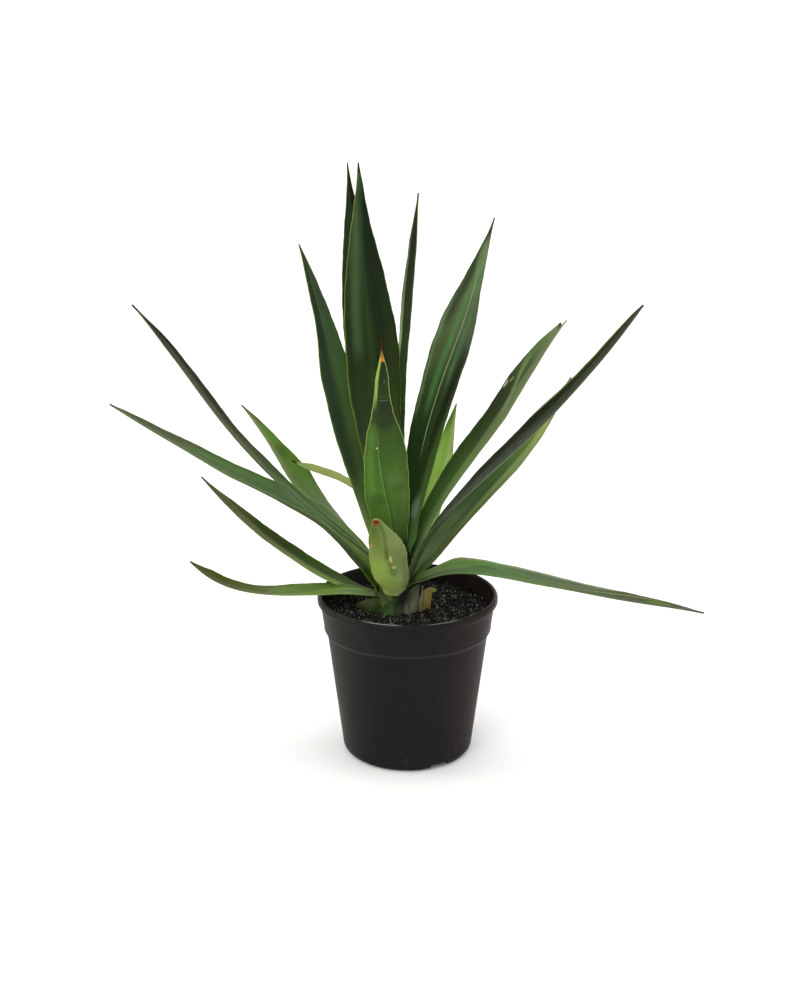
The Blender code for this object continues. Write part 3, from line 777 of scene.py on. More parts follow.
def pot_profile(lip, high):
    """Outer side up to the lip and inner side down to the floor, in millimetres."""
    lip_foot = high - LIP_DEEP_MM
    heel_in, heel_up = HEEL_MM
    foot = [(0.0, 0.6), (30.0, 0.6), (44.0, 0.5), (46.0, 0.0)]
    heel = [
        (BODY_FOOT_MM - heel_in + heel_in * math.sin(a), heel_up - heel_up * math.cos(a))
        for a in (math.radians(10.0 * n) for n in range(10))
    ]
    body = between(
        (BODY_FOOT_MM, heel_up), (BODY_TOP_MM, STEP_UP_MM - 1.4), (0.02, 0.2, 0.4, 0.6, 0.8, 0.97, 1.0)
    )
    step = [
        (BODY_TOP_MM + 0.1, STEP_UP_MM - 0.6), (BODY_TOP_MM + 0.3, STEP_UP_MM + 0.6),
        (COLLAR_FOOT_MM - 0.6, BEAD_UP_MM - 1.0), (COLLAR_FOOT_MM - 0.05, BEAD_UP_MM - 0.5),
        (COLLAR_FOOT_MM + 0.15, BEAD_UP_MM), (COLLAR_FOOT_MM + 0.05, BEAD_UP_MM + 0.5),
        (COLLAR_FOOT_MM - 0.1, COLLAR_FOOT_UP_MM),
    ]
    collar = between(
        (COLLAR_FOOT_MM, COLLAR_FOOT_UP_MM), (COLLAR_TOP_MM, lip_foot), (0.05, 0.35, 0.7, 0.95)
    )
    lip_side = [
        (COLLAR_TOP_MM + 0.2, lip_foot - 0.2), (COLLAR_TOP_MM + 0.9, lip_foot + 0.15),
        (lip - 0.9, lip_foot + 0.6), (lip - 0.3, lip_foot + 1.2), (lip - 0.03, lip_foot + 2.0),
        (lip, high - 2.9), (lip - 0.05, high - 2.6), (lip - 0.35, high - 1.6),
        (lip - 0.75, high - 0.85), (lip - 1.3, high - 0.33), (lip - 2.0, high - 0.05),
        (lip - 2.6, high), (lip - 3.2, high - 0.3), (lip - 3.6, high - 1.0),
    ]
    inner = [
        (COLLAR_TOP_MM - 1.2, high - 2.4), (COLLAR_TOP_MM - 1.4, high - 5.0),
        (COLLAR_TOP_MM - WALL_MM, lip_foot - 1.0), (COLLAR_FOOT_MM - WALL_MM, COLLAR_FOOT_UP_MM + 0.2),
        (BODY_TOP_MM - WALL_MM, STEP_UP_MM - 0.2), (BODY_FOOT_MM - WALL_MM, 7.6),
        (BODY_FOOT_MM - 3.6, 3.3), (BODY_FOOT_MM - 6.8, 2.0), (0.0, 2.0),
    ]
    return [*foot, *heel, *body, *step, *collar, *lip_side, *inner]


def pot_plastic(settings):
    """Satin black plastic: a fine moulded grain, a little dust and a few faint rub marks, with
    painted reflections on the sides and painted highlights on the collar's bead and the lip's crest.
    """
    f = Finish("moulded pot plastic")
    place = f.place()
    x, y, z = f.parts(place)
    grain = f.noise(place, 2600.0, 2.0)
    cloud = f.noise(place, 14.0, 3.0, 0.5)
    dusty = f.noise(place, 120.0, 5.0, 0.7)
    angle = f.math("ARCTAN2", x, 0.0 - y)
    # Painted reflections: the sides take an olive cast on one hand and a brown one on the other.
    left = f.step(x, -0.062, -0.02, 1.0, 0.0)
    right = f.step(x, 0.02, 0.062)
    colour = f.mix(left * 0.25, (*settings.plastic, 1.0), linear("383A24"))
    colour = f.mix(right * 0.25, colour, linear("443226"))
    colour = f.scaled(colour, 0.85 + cloud * 0.3)
    # A painted highlight runs round the bead at the collar's foot, and dust lies low on the wall.
    bead_highlight = f.step(abs(z - MM * BEAD_UP_MM), 0.0002, 0.0007, 1.0, 0.0)
    low = f.step(z, 0.0, 0.03, 0.35, 0.0)
    dust_and_highlight = f.step(dusty, 0.5, 0.8) * (low * 0.3 + 0.03) + bead_highlight * 0.13
    colour = f.mix(dust_and_highlight, colour, linear("6E6C66"))
    # Long level rub marks and short scratches.
    rubs = f.noise(f.vector(angle * 5.0, z * 900.0, 3.0), 1.0, 3.0, 0.7)
    nicks = f.noise(f.vector(angle * 46.0 + z * 700.0, z * 60.0, 9.0), 1.0, 2.0, 0.6)
    rubbed = f.step(rubs, 0.68, 0.85) * 0.05 + f.step(nicks, 0.75, 0.78) * 0.12
    colour = f.mix(rubbed, colour, linear("8A8885"))
    # The crest of the lip has a painted highlight, stronger left of the front and fainter right of it.
    top = POT_BOX[1].z
    crest_highlight_left = f.step(abs(angle + 0.28), 0.12, 0.26, 0.55, 0.0)
    crest_highlight_right = f.step(abs(angle - 0.4), 0.1, 0.24, 0.32, 0.0)
    crest_highlight = (crest_highlight_left + crest_highlight_right) * f.step(z, top - 0.0003, top - 0.0001)
    colour = f.mix(crest_highlight, colour, linear("A8A8A6"))
    rim = f.step(z, top - 0.004, top - 0.0015)
    rough = f.step(cloud, 0.3, 0.7, 0.38, 0.46) + rubbed * 0.2 + dust_and_highlight * 0.3 - rim * 0.16
    normal = f.bump(grain, 0.00003, 0.4)
    normal = f.bump(f.noise(place, 45.0, 3.0), 0.0004, 0.2, normal)
    return f.done(colour, rough, normal, 1.46, 0.04)


def notch_cutter(number, turn):
    """A rounded block that cuts one drain notch out of the pot's foot."""
    block = bmesh.new()
    bmesh.ops.create_cube(block, size=1.0)
    along_x = [e for e in block.edges if abs(e.verts[0].co.x - e.verts[1].co.x) > 0.5]
    bmesh.ops.bevel(block, geom=along_x, offset=0.2, segments=4, affect="EDGES")
    bmesh.ops.scale(block, vec=NOTCH_SIZE_M, verts=block.verts)
    where = Matrix.Rotation(math.radians(turn), 4, "Z") @ Matrix.Translation(NOTCH_CENTRE_M)
    bmesh.ops.transform(block, matrix=where, verts=block.verts)
    bmesh.ops.recalc_face_normals(block, faces=block.faces)
    return new_object(f"notch_{number}", block)


def build_pot(settings):
    shaped = spun(pot_profile(settings.lip_radius / MM, settings.height / MM), settings.sides)
    pot = add_piece("pot_shell", shaped, pot_plastic(settings), ("nursery_pot",))
    cutters = [notch_cutter(number, turn) for number, turn in enumerate(NOTCH_TURNS_DEG)]
    for cutter in cutters:
        modifier = pot.modifiers.new(cutter.name, "BOOLEAN")
        modifier.operation = "DIFFERENCE"
        modifier.solver = "EXACT"
        modifier.object = cutter
    bake_modifiers(pot)
    for cutter in cutters:
        bpy.data.objects.remove(cutter, do_unlink=True)
    pot.data.shade_smooth()
    pot.data.set_sharp_from_angle(angle=math.radians(38.0))


# Soil -----------------------------------------------------------------------------------

SOIL_OUT_M = 0.0697
LOOSE_OUT_M = 0.0684  # loose bits lie inside this radius
LOOSE_IN_M = 0.0188  # and outside this distance from the stem's axis
FIBRE_IN_M = 0.0178
CRUMB_SIZES_M = (0.0005, 0.0006, 0.0007, 0.0009, 0.0012, 0.0016)
GRAIN_SIZES_M = (
    0.00012, 0.00015, 0.00018, 0.00018, 0.00022, 0.00022, 0.00026, 0.0003, 0.00042, 0.0006,
)
FIBRE_RADII_M = (0.00005, 0.00006, 0.00008, 0.00011)


def from_stem(x, y):
    """Distance from the stem's axis."""
    return math.hypot(x - CROWN.x, y - CROWN.y)


def soil_surface(x, y, settings):
    """Height of the lumpy surface at a point: it dips round the stem."""
    at = Vector((x, y, 0.0))
    lumps = noise.fractal(at * 130.0, 0.9, 2.1, 4, noise_basis="PERLIN_ORIGINAL")
    grit = noise.noise(at * 900.0)
    inward = max(0.0, 1.0 - math.hypot(x, y) / 0.060)
    level = SOIL_BOX[1].z - 0.004 + settings.mound * min(1.0, 1.5 * inward)
    dip = 0.0012 * math.exp(-(((from_stem(x, y) - 0.0195) / 0.005) ** 2))
    return level + settings.lumps * lumps + 0.0004 * grit - dip


def earth_finish(colour):
    """Dark peat: fine pale and dark grit, brown patches, and each crumb its own shade."""
    f = Finish("peat soil")
    place = f.place()
    tint = f.parts(f.attribute("tint")["Vector"])[0]
    big = f.noise(place, 90.0, 5.0, 0.7)
    fine = f.noise(place, 1500.0, 4.0, 0.75)
    dark = (*[0.45 * c for c in colour], 1.0)
    pale = (*[2.6 * c for c in colour], 1.0)
    shade = f.mix(f.step(fine, 0.3, 0.7), dark, pale)
    shade = f.mix(f.step(big, 0.4, 0.7, 0.0, 0.5), shade, linear("16120E"))
    shade = f.scaled(shade, 0.5 + tint * 1.2)
    normal = f.bump(fine, 0.0006, 0.9)
    return f.done(shade, f.step(big, 0.3, 0.7, 0.7, 0.95), normal, 1.4, 0.25)


def speck_finish(name, light, dark):
    """Pitted grains or fibres, each somewhere between its light and its dark colour."""
    f = Finish(name)
    tint = f.parts(f.attribute("tint")["Vector"])[0]
    pits = f.noise(f.place(), 1800.0, 3.0, 0.7)
    shade = f.mix(f.step(tint + (pits - 0.5) * 0.5, 0.1, 0.9), linear(dark), linear(light))
    return f.done(shade, f.step(pits, 0.3, 0.7, 0.75, 0.95), f.bump(pits, 0.0003, 0.6), 1.4, 0.2)


def in_soil(chance, dense):
    """A seeded point on the soil, thicker where dense says, and clear of the stem."""
    while True:
        radius = LOOSE_OUT_M * math.sqrt(chance.random())
        angle = chance.uniform(-math.pi, math.pi)
        x, y = radius * math.cos(angle), radius * math.sin(angle)
        if from_stem(x, y) < LOOSE_IN_M:
            continue
        if chance.random() < dense(x, y):
            return x, y


def tinted():
    """An empty bmesh, and the layer that holds the shade of each of its vertices."""
    shaped = bmesh.new()
    return shaped, shaped.verts.layers.float_vector.new("tint")


def add_chunk(shaped, tints, where, size, tint, chance, squash):
    """Adds one irregular crumb."""
    spin = chance.uniform(0, 6.28)
    axis = Vector((chance.uniform(-1, 1), chance.uniform(-1, 1), 0.3)).normalized()
    turn = Matrix.Rotation(spin, 4, axis)
    for corner in bmesh.ops.create_icosphere(shaped, subdivisions=1, radius=1.0)["verts"]:
        rough = 0.75 + 0.5 * chance.random()
        flat = Vector((corner.co.x, corner.co.y * 0.8, corner.co.z * squash)) * (size * rough)
        corner.co = turn @ flat + where
        corner[tints] = Vector((tint, 0.0, 0.0))


def soil_bed(settings):
    """The lumpy surface, with a skirt at its rim that goes down inside the pot."""
    rings, spokes = 74, 200
    shaped, tints = tinted()
    rows = []
    for ring in range(rings + 1):
        share = ring / rings
        sunk = 0.0012 * max(0.0, (share - 0.93) / 0.07)
        row = []
        for spoke in range(spokes):
            angle = 2 * math.pi * spoke / spokes
            x = CROWN.x * (1 - share) + SOIL_OUT_M * share * math.cos(angle)
            y = CROWN.y * (1 - share) + SOIL_OUT_M * share * math.sin(angle)
            corner = shaped.verts.new((x, y, soil_surface(x, y, settings) - sunk))
            tint = 0.5 + 0.4 * noise.noise(Vector((x, y, 0.4)) * 500.0)
            corner[tints] = Vector((tint, 0.0, 0.0))
            row.append(corner)
        rows.append(row)
    skirt = []
    for corner in rows[-1]:
        below = shaped.verts.new((corner.co.x * 0.985, corner.co.y * 0.985, SOIL_BOX[1].z - 0.02))
        # The skirt's foot is tinted dark: painted shade down inside the pot's wall.
        below[tints] = Vector((0.2, 0.0, 0.0))
        skirt.append(below)
    rows.append(skirt)
    for inner, wider in zip(rows, rows[1:]):
        for spoke in range(spokes):
            after = (spoke + 1) % spokes
            shaped.faces.new((inner[spoke], wider[spoke], wider[after], inner[after]))
    bmesh.ops.remove_doubles(shaped, verts=rows[0], dist=0.00001)
    bmesh.ops.recalc_face_normals(shaped, faces=shaped.faces)
    return shaped


def soil_crumbs(settings, chance):
    shaped, tints = tinted()
    for _ in range(settings.crumbs):
        x, y = in_soil(chance, lambda x, y: 0.9)
        size = chance.choice(CRUMB_SIZES_M)
        where = Vector((x, y, soil_surface(x, y, settings) + 0.3 * size))
        add_chunk(shaped, tints, where, size, chance.uniform(0.1, 1.0), chance, 0.7)
    return shaped


def perlite_grains(settings, chance):
    """White grains, thickest on the right and toward the front."""
    shaped, tints = tinted()

    def dense(x, y):
        return 0.35 + 0.6 * (x > 0.02) + 0.5 * (x < -0.02 and y < 0) + 0.5 * (y < -0.035)

    for _ in range(settings.perlite):
        x, y = in_soil(chance, dense)
        size = chance.choice(GRAIN_SIZES_M)
        where = Vector((x, y, soil_surface(x, y, settings) + 0.8 * size))
        add_chunk(shaped, tints, where, size, chance.uniform(0.0, 1.0) ** 1.6, chance, 0.9)
    return shaped


def peat_fibres(settings, chance):
    """Thin strands, thickest toward the front and on the left."""
    shaped, tints = tinted()
    for _ in range(settings.fibres):
        x, y = in_soil(chance, lambda x, y: 0.3 + 0.7 * (y < -0.02) + 0.3 * (x < -0.02))
        add_fibre(shaped, tints, x, y, settings, chance)
    return shaped


def add_fibre(shaped, tints, x, y, settings, chance):
    """Adds one thin curled strand lying on the soil."""
    steps = 7
    short = chance.random() < 0.85
    long = chance.uniform(0.0012, 0.0055) if short else chance.uniform(0.005, 0.010)
    radius = chance.choice(FIBRE_RADII_M)
    heading = chance.uniform(-math.pi, math.pi)
    curl = chance.uniform(-1.9, 1.9)
    arch = chance.uniform(0.0002, 0.0016)
    tint = chance.random() ** 1.8
    path = []
    for number in range(steps + 1):
        lift = 0.0002 + arch * math.sin(math.pi * number / steps)
        path.append(Vector((x, y, soil_surface(x, y, settings) + lift)))
        heading += curl / steps
        x += long / steps * math.cos(heading)
        y += long / steps * math.sin(heading)
        if math.hypot(x, y) > LOOSE_OUT_M or from_stem(x, y) < FIBRE_IN_M:
            break
    if len(path) < 3:
        return
    rings = []
    for number, point in enumerate(path):
        ahead = path[min(number + 1, len(path) - 1)]
        along = (ahead - path[max(number - 1, 0)]).normalized()
        side = along.cross(Vector((0, 0, 1))).normalized()
        up = side.cross(along)
        ring = []
        for quarter in range(4):
            angle = math.pi / 2 * quarter
            made = shaped.verts.new(point + radius * (side * math.cos(angle) + up * math.sin(angle)))
            made[tints] = Vector((tint, 0.0, 0.0))
            ring.append(made)
        rings.append(ring)
    join_rings(shaped, rings)
    shaped.faces.new(rings[0][::-1])
    shaped.faces.new(rings[-1])


def build_soil(settings):
    chance = random.Random(11)
    earth = earth_finish(settings.earth)
    perlite = speck_finish("perlite and grit", "F2F0EA", "8C8A80")
    peat = speck_finish("peat fibres", "B4B09C", "2A2820")
    add_piece("soil_bed", soil_bed(settings), earth, ("potting_soil",))
    add_piece("soil_crumbs", soil_crumbs(settings, chance), earth, smooth=False)
    add_piece("soil_perlite", perlite_grains(settings, chance), perlite, smooth=False)
    add_piece("soil_fibres", peat_fibres(settings, chance), peat)


# Leaves ---------------------------------------------------------------------------------

# Slight waviness of the margins: height and wavelength in millimetres.
MARGIN_WAVES_MM = ((0.16, 23.0), (0.10, 9.0), (0.22, 61.0))
MARGIN_SMOOTHING = (0.1, 0.22, 0.36, 0.22, 0.1)
SPLIT_FROM = 0.9  # share of the length where a split tip begins


def stem_radius(height):
    radii, heights = zip(*STEM_SIDE_MM)
    return float(np.interp(height, heights, radii))


def guided(values, share):
    """A smooth run from the first value to the last, drawn toward the middle two."""
    left = 1.0 - share
    weights = (left**3, 3 * left**2 * share, 3 * left * share**2, share**3)
    return sum(w * v for w, v in zip(weights, values))


def growing_direction(leaf, share):
    lean = math.radians(guided(leaf.leans, share))
    swing = math.radians(leaf.turn * share)
    return Vector((math.sin(lean) * math.cos(swing), math.sin(lean) * math.sin(swing), math.cos(lean)))


def midrib(leaf):
    """Points along the middle of a blade that heads +X, from its root at the origin."""
    finer = 4
    steps = finer * STATIONS
    place = Vector((0.0, 0.0, 0.0))
    path = [place.copy()]
    for number in range(steps):
        place += leaf.length / steps * growing_direction(leaf, (number + 0.5) / steps)
        if number % finer == finer - 1:
            path.append(place.copy())
    return path


def section_axes(leaf, share):
    """Sideways and upper-face directions of the blade."""
    along = growing_direction(leaf, share)
    swing = math.radians(leaf.turn * share)
    level = Vector((math.sin(swing), -math.cos(swing), 0.0))
    upper = level.cross(along)
    roll = math.radians(leaf.rolls[0] + (leaf.rolls[1] - leaf.rolls[0]) * share)
    side = level * math.cos(roll) + upper * math.sin(roll)
    return side, upper * math.cos(roll) - level * math.sin(roll)


def root_half(leaf, share):
    """Half width below the first row of the outline."""
    grown = math.sin(math.pi / 2 * share / leaf.widest_at)
    return 0.5 * leaf.width * (leaf.root_share + (1.0 - leaf.root_share) * grown)


def blade_halves(leaf):
    """Half widths on the minus and plus side at every station, in millimetres."""
    shares = np.linspace(0.0, 1.0, STATIONS + 1)
    fade = np.clip(6.0 * (1.0 - shares), 0.0, 1.0) * np.clip(6.0 * shares, 0.0, 1.0)
    first = leaf.outline[0][0]
    sides = []
    for column in (1, 2):
        marks = [(share, root_half(leaf, share)) for share in (0.0, 0.5 * first) if share < first]
        marks += [(row[0], row[column]) for row in leaf.outline]
        if marks[-1][0] < 1.0:
            marks.append((1.0, TIP_HALF_MM))
        half = np.interp(shares, *zip(*marks))
        padded = np.concatenate([half[:1].repeat(2), half, half[-1:].repeat(2)])
        half = np.convolve(padded, MARGIN_SMOOTHING, "valid")
        wave = sum(
            high * np.sin(2 * math.pi * shares * leaf.length / long + column * 1.7 + leaf.heading)
            for high, long in MARGIN_WAVES_MM
        )
        sides.append(np.maximum(half + wave * fade, TIP_HALF_MM))
    return sides


def make_blade(leaf, settings):
    """A grid bent along the midrib, clasping the stem at its root and channelled above."""
    shaped, spots = sheet("blade", STATIONS, ACROSS)
    sizes = shaped.verts.layers.float_vector.new("blade_mm")
    weights = shaped.verts.layers.deform.verify()
    path = midrib(leaf)
    halves = blade_halves(leaf)
    axes = [section_axes(leaf, station / STATIONS) for station in range(STATIONS + 1)]
    wrap = stem_radius(leaf.root_up) + 1.2
    for corner in shaped.verts:
        station = round(0.5 * (corner.co.x + 1.0) * STATIONS)
        across = corner.co.y
        share = station / STATIONS
        run = share * leaf.length
        half = float(halves[1 if across > 0 else 0][station])
        side, face = axes[station]
        free = min(1.0, run / CLASP_LENGTH_MM)
        free = free * free * (3.0 - 2.0 * free)
        # Near the root the section is an arc round the stem; further out a shallow channel.
        bow = wrap * (1.0 + 30.0 * free * free)
        arc = half * across / bow
        rise = bow * (1.0 - math.cos(arc)) + leaf.fold * half * across**2 * free
        ripple = 0.25 * math.sin(run / 13.0 + 3.0 * leaf.heading) * across * abs(across) * free
        ripple *= min(1.0, 8.0 * (1.0 - share))
        place = path[station] + bow * math.sin(arc) * side + (rise + ripple) * face
        if leaf.split and share > SPLIT_FROM:
            notch = leaf.split * max(0.0, 1.0 - abs(across - 0.15) / 0.75) + 4.0 * (across < 0.0)
            opened = (share - SPLIT_FROM) / (1.0 - SPLIT_FROM)
            place -= growing_direction(leaf, share) * notch * opened
        corner.co = MM * place
        corner[spots] = Vector((across, share, (1.0 - abs(across)) * half))
        corner[sizes] = Vector((half * across, run, half))
        corner[weights][0] = 1.0 - abs(across) ** 2.5
    heading = math.radians(leaf.heading)
    out = stem_radius(leaf.root_up) + 0.5 + math.cos(math.radians(leaf.leans[0]))
    root = CROWN + MM * Vector((out * math.cos(heading), out * math.sin(heading), leaf.root_up))
    where = Matrix.Translation(root) @ Matrix.Rotation(heading, 4, "Z")
    bmesh.ops.transform(shaped, matrix=where, verts=shaped.verts)
    name = leaf.name.replace("leaf_", "blade_")
    piece = add_piece(name, shaped, leaf_skin(leaf, settings), (leaf.name,))
    piece.vertex_groups.new(name="middle")
    thicken(piece, settings.thickness, "middle", settings.margin_share)


def leaf_skin(leaf, settings):
    """Waxy leaf: two halves whose colours hold painted shade and light, lengthways veins, pale margins,
    scars and a brown tip.
    """
    f = Finish(leaf.name.replace("_", " ") + " skin")
    gain = settings.brightness
    across, share, edge = f.parts(f.attribute("blade")["Vector"])
    off, run, half = f.parts(f.attribute("blade_mm")["Vector"])
    seed = leaf.heading * 0.37 + leaf.length
    drift = f.noise(f.vector(off * 0.05, run * 0.03, seed), 1.0, 3.0)
    streak = f.noise(f.vector(off * 0.55, run * 0.006, seed + 5.0), 1.0, 4.0, 0.7)
    vein = f.noise(f.vector(off * 2.6, run * 0.012, seed + 9.0), 1.0, 2.0, 0.6)
    blotch = f.noise(f.vector(off * 0.09, run * 0.05, seed + 13.0), 1.0, 4.0, 0.6)
    speckle = f.noise(f.vector(off * 1.6, run * 1.6, seed + 17.0), 1.0, 3.0, 0.7)
    fray = f.noise(f.vector(run * 0.35, across, seed + 21.0), 1.0, 2.0)
    streak, vein, blotch, speckle = (noisy - 0.5 for noisy in (streak, vein, blotch, speckle))
    along = share + (drift - 0.5) * 0.08
    left = f.ramp(along, [linear(c, gain) for c in leaf.minus.split()])
    right = f.ramp(along, [linear(c, gain) for c in leaf.plus.split()])
    # The two halves meet at the fold; their stops hold painted shade and light as well as the leaf's own
    # colour.
    turn = across + streak * 0.25 - leaf.fold_at
    colour = f.mix(f.step(turn, -leaf.fold_soft, leaf.fold_soft), left, right)
    for detail in leaf.details:
        if isinstance(detail, Stripe):
            amount = stripe_amount(f, detail, share, across, half, streak)
        else:
            amount = mark_amount(f, detail, share, across, half, leaf.length, speckle + blotch)
        colour = f.mix(amount, colour, linear(detail.colour, gain))
    light = 1.0 + streak * (2.0 * leaf.streaks) + vein * 0.22 + blotch * 0.45 + speckle * 0.1
    colour = f.scaled(colour, light)
    uneven = edge + speckle * 0.7 + (fray - 0.5) * 0.8
    margin = f.step(uneven, 0.3 * leaf.edge_wide, 0.9 * leaf.edge_wide, leaf.edge_strength, 0.0)
    colour = f.mix(margin, colour, linear(leaf.edge, gain))
    left_over = (1.0 - share) * leaf.length + speckle * 2.0 + edge * 0.4
    dry = f.step(left_over, 0.5 * leaf.tip_long, leaf.tip_long, 1.0, 0.0)
    colour = f.mix(dry, colour, linear(leaf.tip, gain))
    rough = leaf.gloss + blotch * 0.14 + speckle * 0.1
    normal = f.bump(vein + streak * 0.6, settings.vein_depth * 3.0, 0.35)
    return f.done(colour, rough, normal, 1.42, leaf.shine)


def stripe_amount(f, stripe, share, across, half, streak):
    """How much a stripe covers: it fades at its sides and at both of its ends."""
    middle = f.step(share, stripe.first, stripe.last, stripe.start, stripe.end)
    away = abs(across - middle) * half + streak * (0.5 * stripe.wide)
    inner = 0.5 * stripe.wide * (1.0 - stripe.soft)
    outer = 0.5 * stripe.wide * (1.0 + stripe.soft)
    begun = f.step(share, stripe.first - 0.04, stripe.first + 0.05)
    ended = f.step(share, stripe.last - 0.06, stripe.last + 0.03, 1.0, 0.0)
    return f.step(away, inner, outer, stripe.strength, 0.0) * (begun * ended)


def mark_amount(f, mark, share, across, half, length, ragged):
    """How much an oval mark covers, with a ragged rim."""
    long_way = (share - mark.share) * (2.0 * length / mark.long)
    side_way = (across - mark.across) * half * (2.0 / mark.wide)
    away = f.math("SQRT", long_way * long_way + side_way * side_way) + ragged * 0.5
    return f.step(away, 0.6, 1.3, mark.strength, 0.0)


# Stem -----------------------------------------------------------------------------------


class Sheath(NamedTuple):
    """A scale that clasps the stem: heading, foot and top heights, radius at foot and
    top, half its reach round the stem in degrees, how far it flares, its colours from
    foot to top, and the share of its height where it starts to narrow."""

    heading: float
    foot: float
    top: float
    radius: float
    top_radius: float
    reach: float
    flare: float
    colours: str
    point: float = 0.6


SHEATHS = (
    Sheath(-30, 117, 148, 19.4, 17.8, 44, 0.3, "424626 686C50 868A72 626850 3A4A30", 0.45),
    Sheath(-66, 117, 145, 19.0, 17.2, 34, 0.2, "343C20 3E4828 3A442A 2A3820 1E2A16", 0.5),
    # The dark top of the next sheath is painted shadow under the short front leaf.
    Sheath(-100, 117, 136, 18.8, 16.8, 54, 0.0, "34401C 46602A 3A5426 22361A", 0.4),
    Sheath(-150, 118, 141, 17.0, 17.2, 40, 0.5, "3A4420 5A6A34 46582A"),
    Sheath(150, 118, 139, 17.0, 17.0, 44, 0.5, "4A4628 5A6234 46542A"),
    Sheath(95, 118, 142, 17.0, 17.3, 46, 0.5, "5A5030 6A6A3C 4C5A2C"),
    Sheath(35, 118, 141, 17.0, 17.2, 44, 0.5, "54492C 666038 4A562C"),
    Sheath(215, 126, 156, 15.6, 15.6, 46, 0.3, "3A4A24 46582C 3E5028", 0.7),
    Sheath(65, 140, 166, 13.0, 13.4, 52, 0.2, "4A5C30 4E6432 42562A", 0.7),
    Sheath(-70, 142, 168, 12.8, 13.2, 52, 0.2, "3E5028 46582C 3A4A24", 0.7),
)
SHEATH_THICK_M = 0.0007
SOIL_TOP_MM = 118.0  # where the stem starts to turn green
FRONT_SHADOW_CENTRE = CROWN + MM * Vector((5.5, -18.0, 139.0))  # centre of the painted shadow under the short front leaf


def plant_skin(name, colours, scale=1.0, gloss=0.5):
    """Fibrous sheath or stem skin: upright fibres over a colour that changes with height, one side of
    each scale painted darker, and a painted shadow under the short front leaf.
    """
    f = Finish(name)
    place = f.place()
    x, y, z = f.parts(place)
    up, across, _ = f.parts(f.attribute("climb")["Vector"])
    angle = f.math("ARCTAN2", y - CROWN.y, x - CROWN.x)
    strands = f.noise(f.vector(angle * 16.0 * scale, z * 90.0, 1.0), 1.0, 4.0, 0.7)
    patches = f.noise(place, 160.0, 4.0, 0.65)
    colour = f.ramp(up + (patches - 0.5) * 0.5, [linear(c) for c in colours.split()])
    fibrous = 0.55 + strands * 0.55 + patches * 0.35
    # One side of each scale is painted darker than the other: painted shade.
    colour = f.scaled(colour, fibrous * (1.0 + 0.25 * across))
    # Painted shadow: the colour darkens to a fifth within a few millimetres of the hollow under the short
    # front leaf.
    gap_x, gap_y, gap_z = (value - centre for value, centre in zip((x, y, z), FRONT_SHADOW_CENTRE))
    shadow_distance = f.math("SQRT", gap_x * gap_x + gap_y * gap_y + gap_z * gap_z)
    colour = f.scaled(colour, f.step(shadow_distance, 0.003, 0.0135, 0.2, 1.0))
    normal = f.bump(strands, 0.0005, 0.5)
    return f.done(colour, f.step(patches, 0.3, 0.7, gloss, gloss + 0.2), normal, 1.42, 0.35)


def build_stem():
    sides, rings = 96, 90
    foot, top = STEM_BOX[0].z / MM, STEM_BOX[1].z / MM
    shaped = bmesh.new()
    climbs = shaped.verts.layers.float_vector.new("climb")
    rows = []
    for ring in range(rings + 1):
        share = ring / rings
        up = foot + (top - 0.4 - foot) * share
        green = max(0.0, (up - SOIL_TOP_MM) / 40.0)
        rounding = 1.0 - max(0.0, share - 0.97) * 12.0
        row = []
        for side in range(sides):
            angle = 2 * math.pi * side / sides
            joint = max(0.0, math.sin(2 * math.pi * up / 6.5 + 0.8 * math.sin(2 * angle)))
            ridge = 0.18 * math.sin(17 * angle + 0.3 * up)
            lump = 0.6 * noise.noise(Vector((2 * math.cos(angle), 2 * math.sin(angle), up * 0.09)))
            radius = stem_radius(up) * rounding + 0.35 * joint**3 + ridge + lump - 0.3
            radius = max(0.3, radius)
            spot = Vector((radius * math.cos(angle), radius * math.sin(angle), up))
            corner = shaped.verts.new(CROWN + MM * spot)
            corner[climbs] = Vector((green, 0.0, 0.0))
            row.append(corner)
        rows.append(row)
    join_rings(shaped, rows)
    shaped.faces.new(rows[0][::-1])
    shaped.faces.new(rows[-1])
    skin = plant_skin("green stem skin", "2A2416 46602A 46602A 3E5226")
    add_piece("stem_core", shaped, skin, ("stem",))
    for number, sheath in enumerate(SHEATHS):
        clasping_scale(f"stem_sheath_{number + 1}", sheath)


def clasping_scale(name, sheath):
    """One clasping scale, drawn to a blunt point."""
    shaped, climbs = sheet("climb", 26, 20)
    for corner in shaped.verts:
        share = 0.5 * (corner.co.x + 1.0)
        across = corner.co.y
        past = max(0.0, (share - sheath.point) / (1.0 - sheath.point))
        reach = sheath.reach * across * (0.25 + 0.75 * math.sqrt(max(0.0, 1.0 - past**2)))
        turn = math.radians(sheath.heading + reach * (1.0 - 0.12 * share))
        up = sheath.foot + (sheath.top - sheath.foot) * share * (1.0 - 0.1 * across * across)
        radius = sheath.radius + (sheath.top_radius - sheath.radius) * share
        radius += sheath.flare * max(0.0, share - 0.5) ** 2 * 6.0
        radius -= 0.8 * across * across * (1.0 - share)
        radius += 0.25 * math.sin(9.0 * across + 5.0 * share + sheath.heading)
        corner.co = CROWN + MM * Vector((radius * math.cos(turn), radius * math.sin(turn), up))
        corner[climbs] = Vector((share, across, 0.0))
    skin = plant_skin(name.replace("_", " "), sheath.colours, 1.6, 0.45)
    thicken(add_piece(name, shaped, skin), SHEATH_THICK_M)


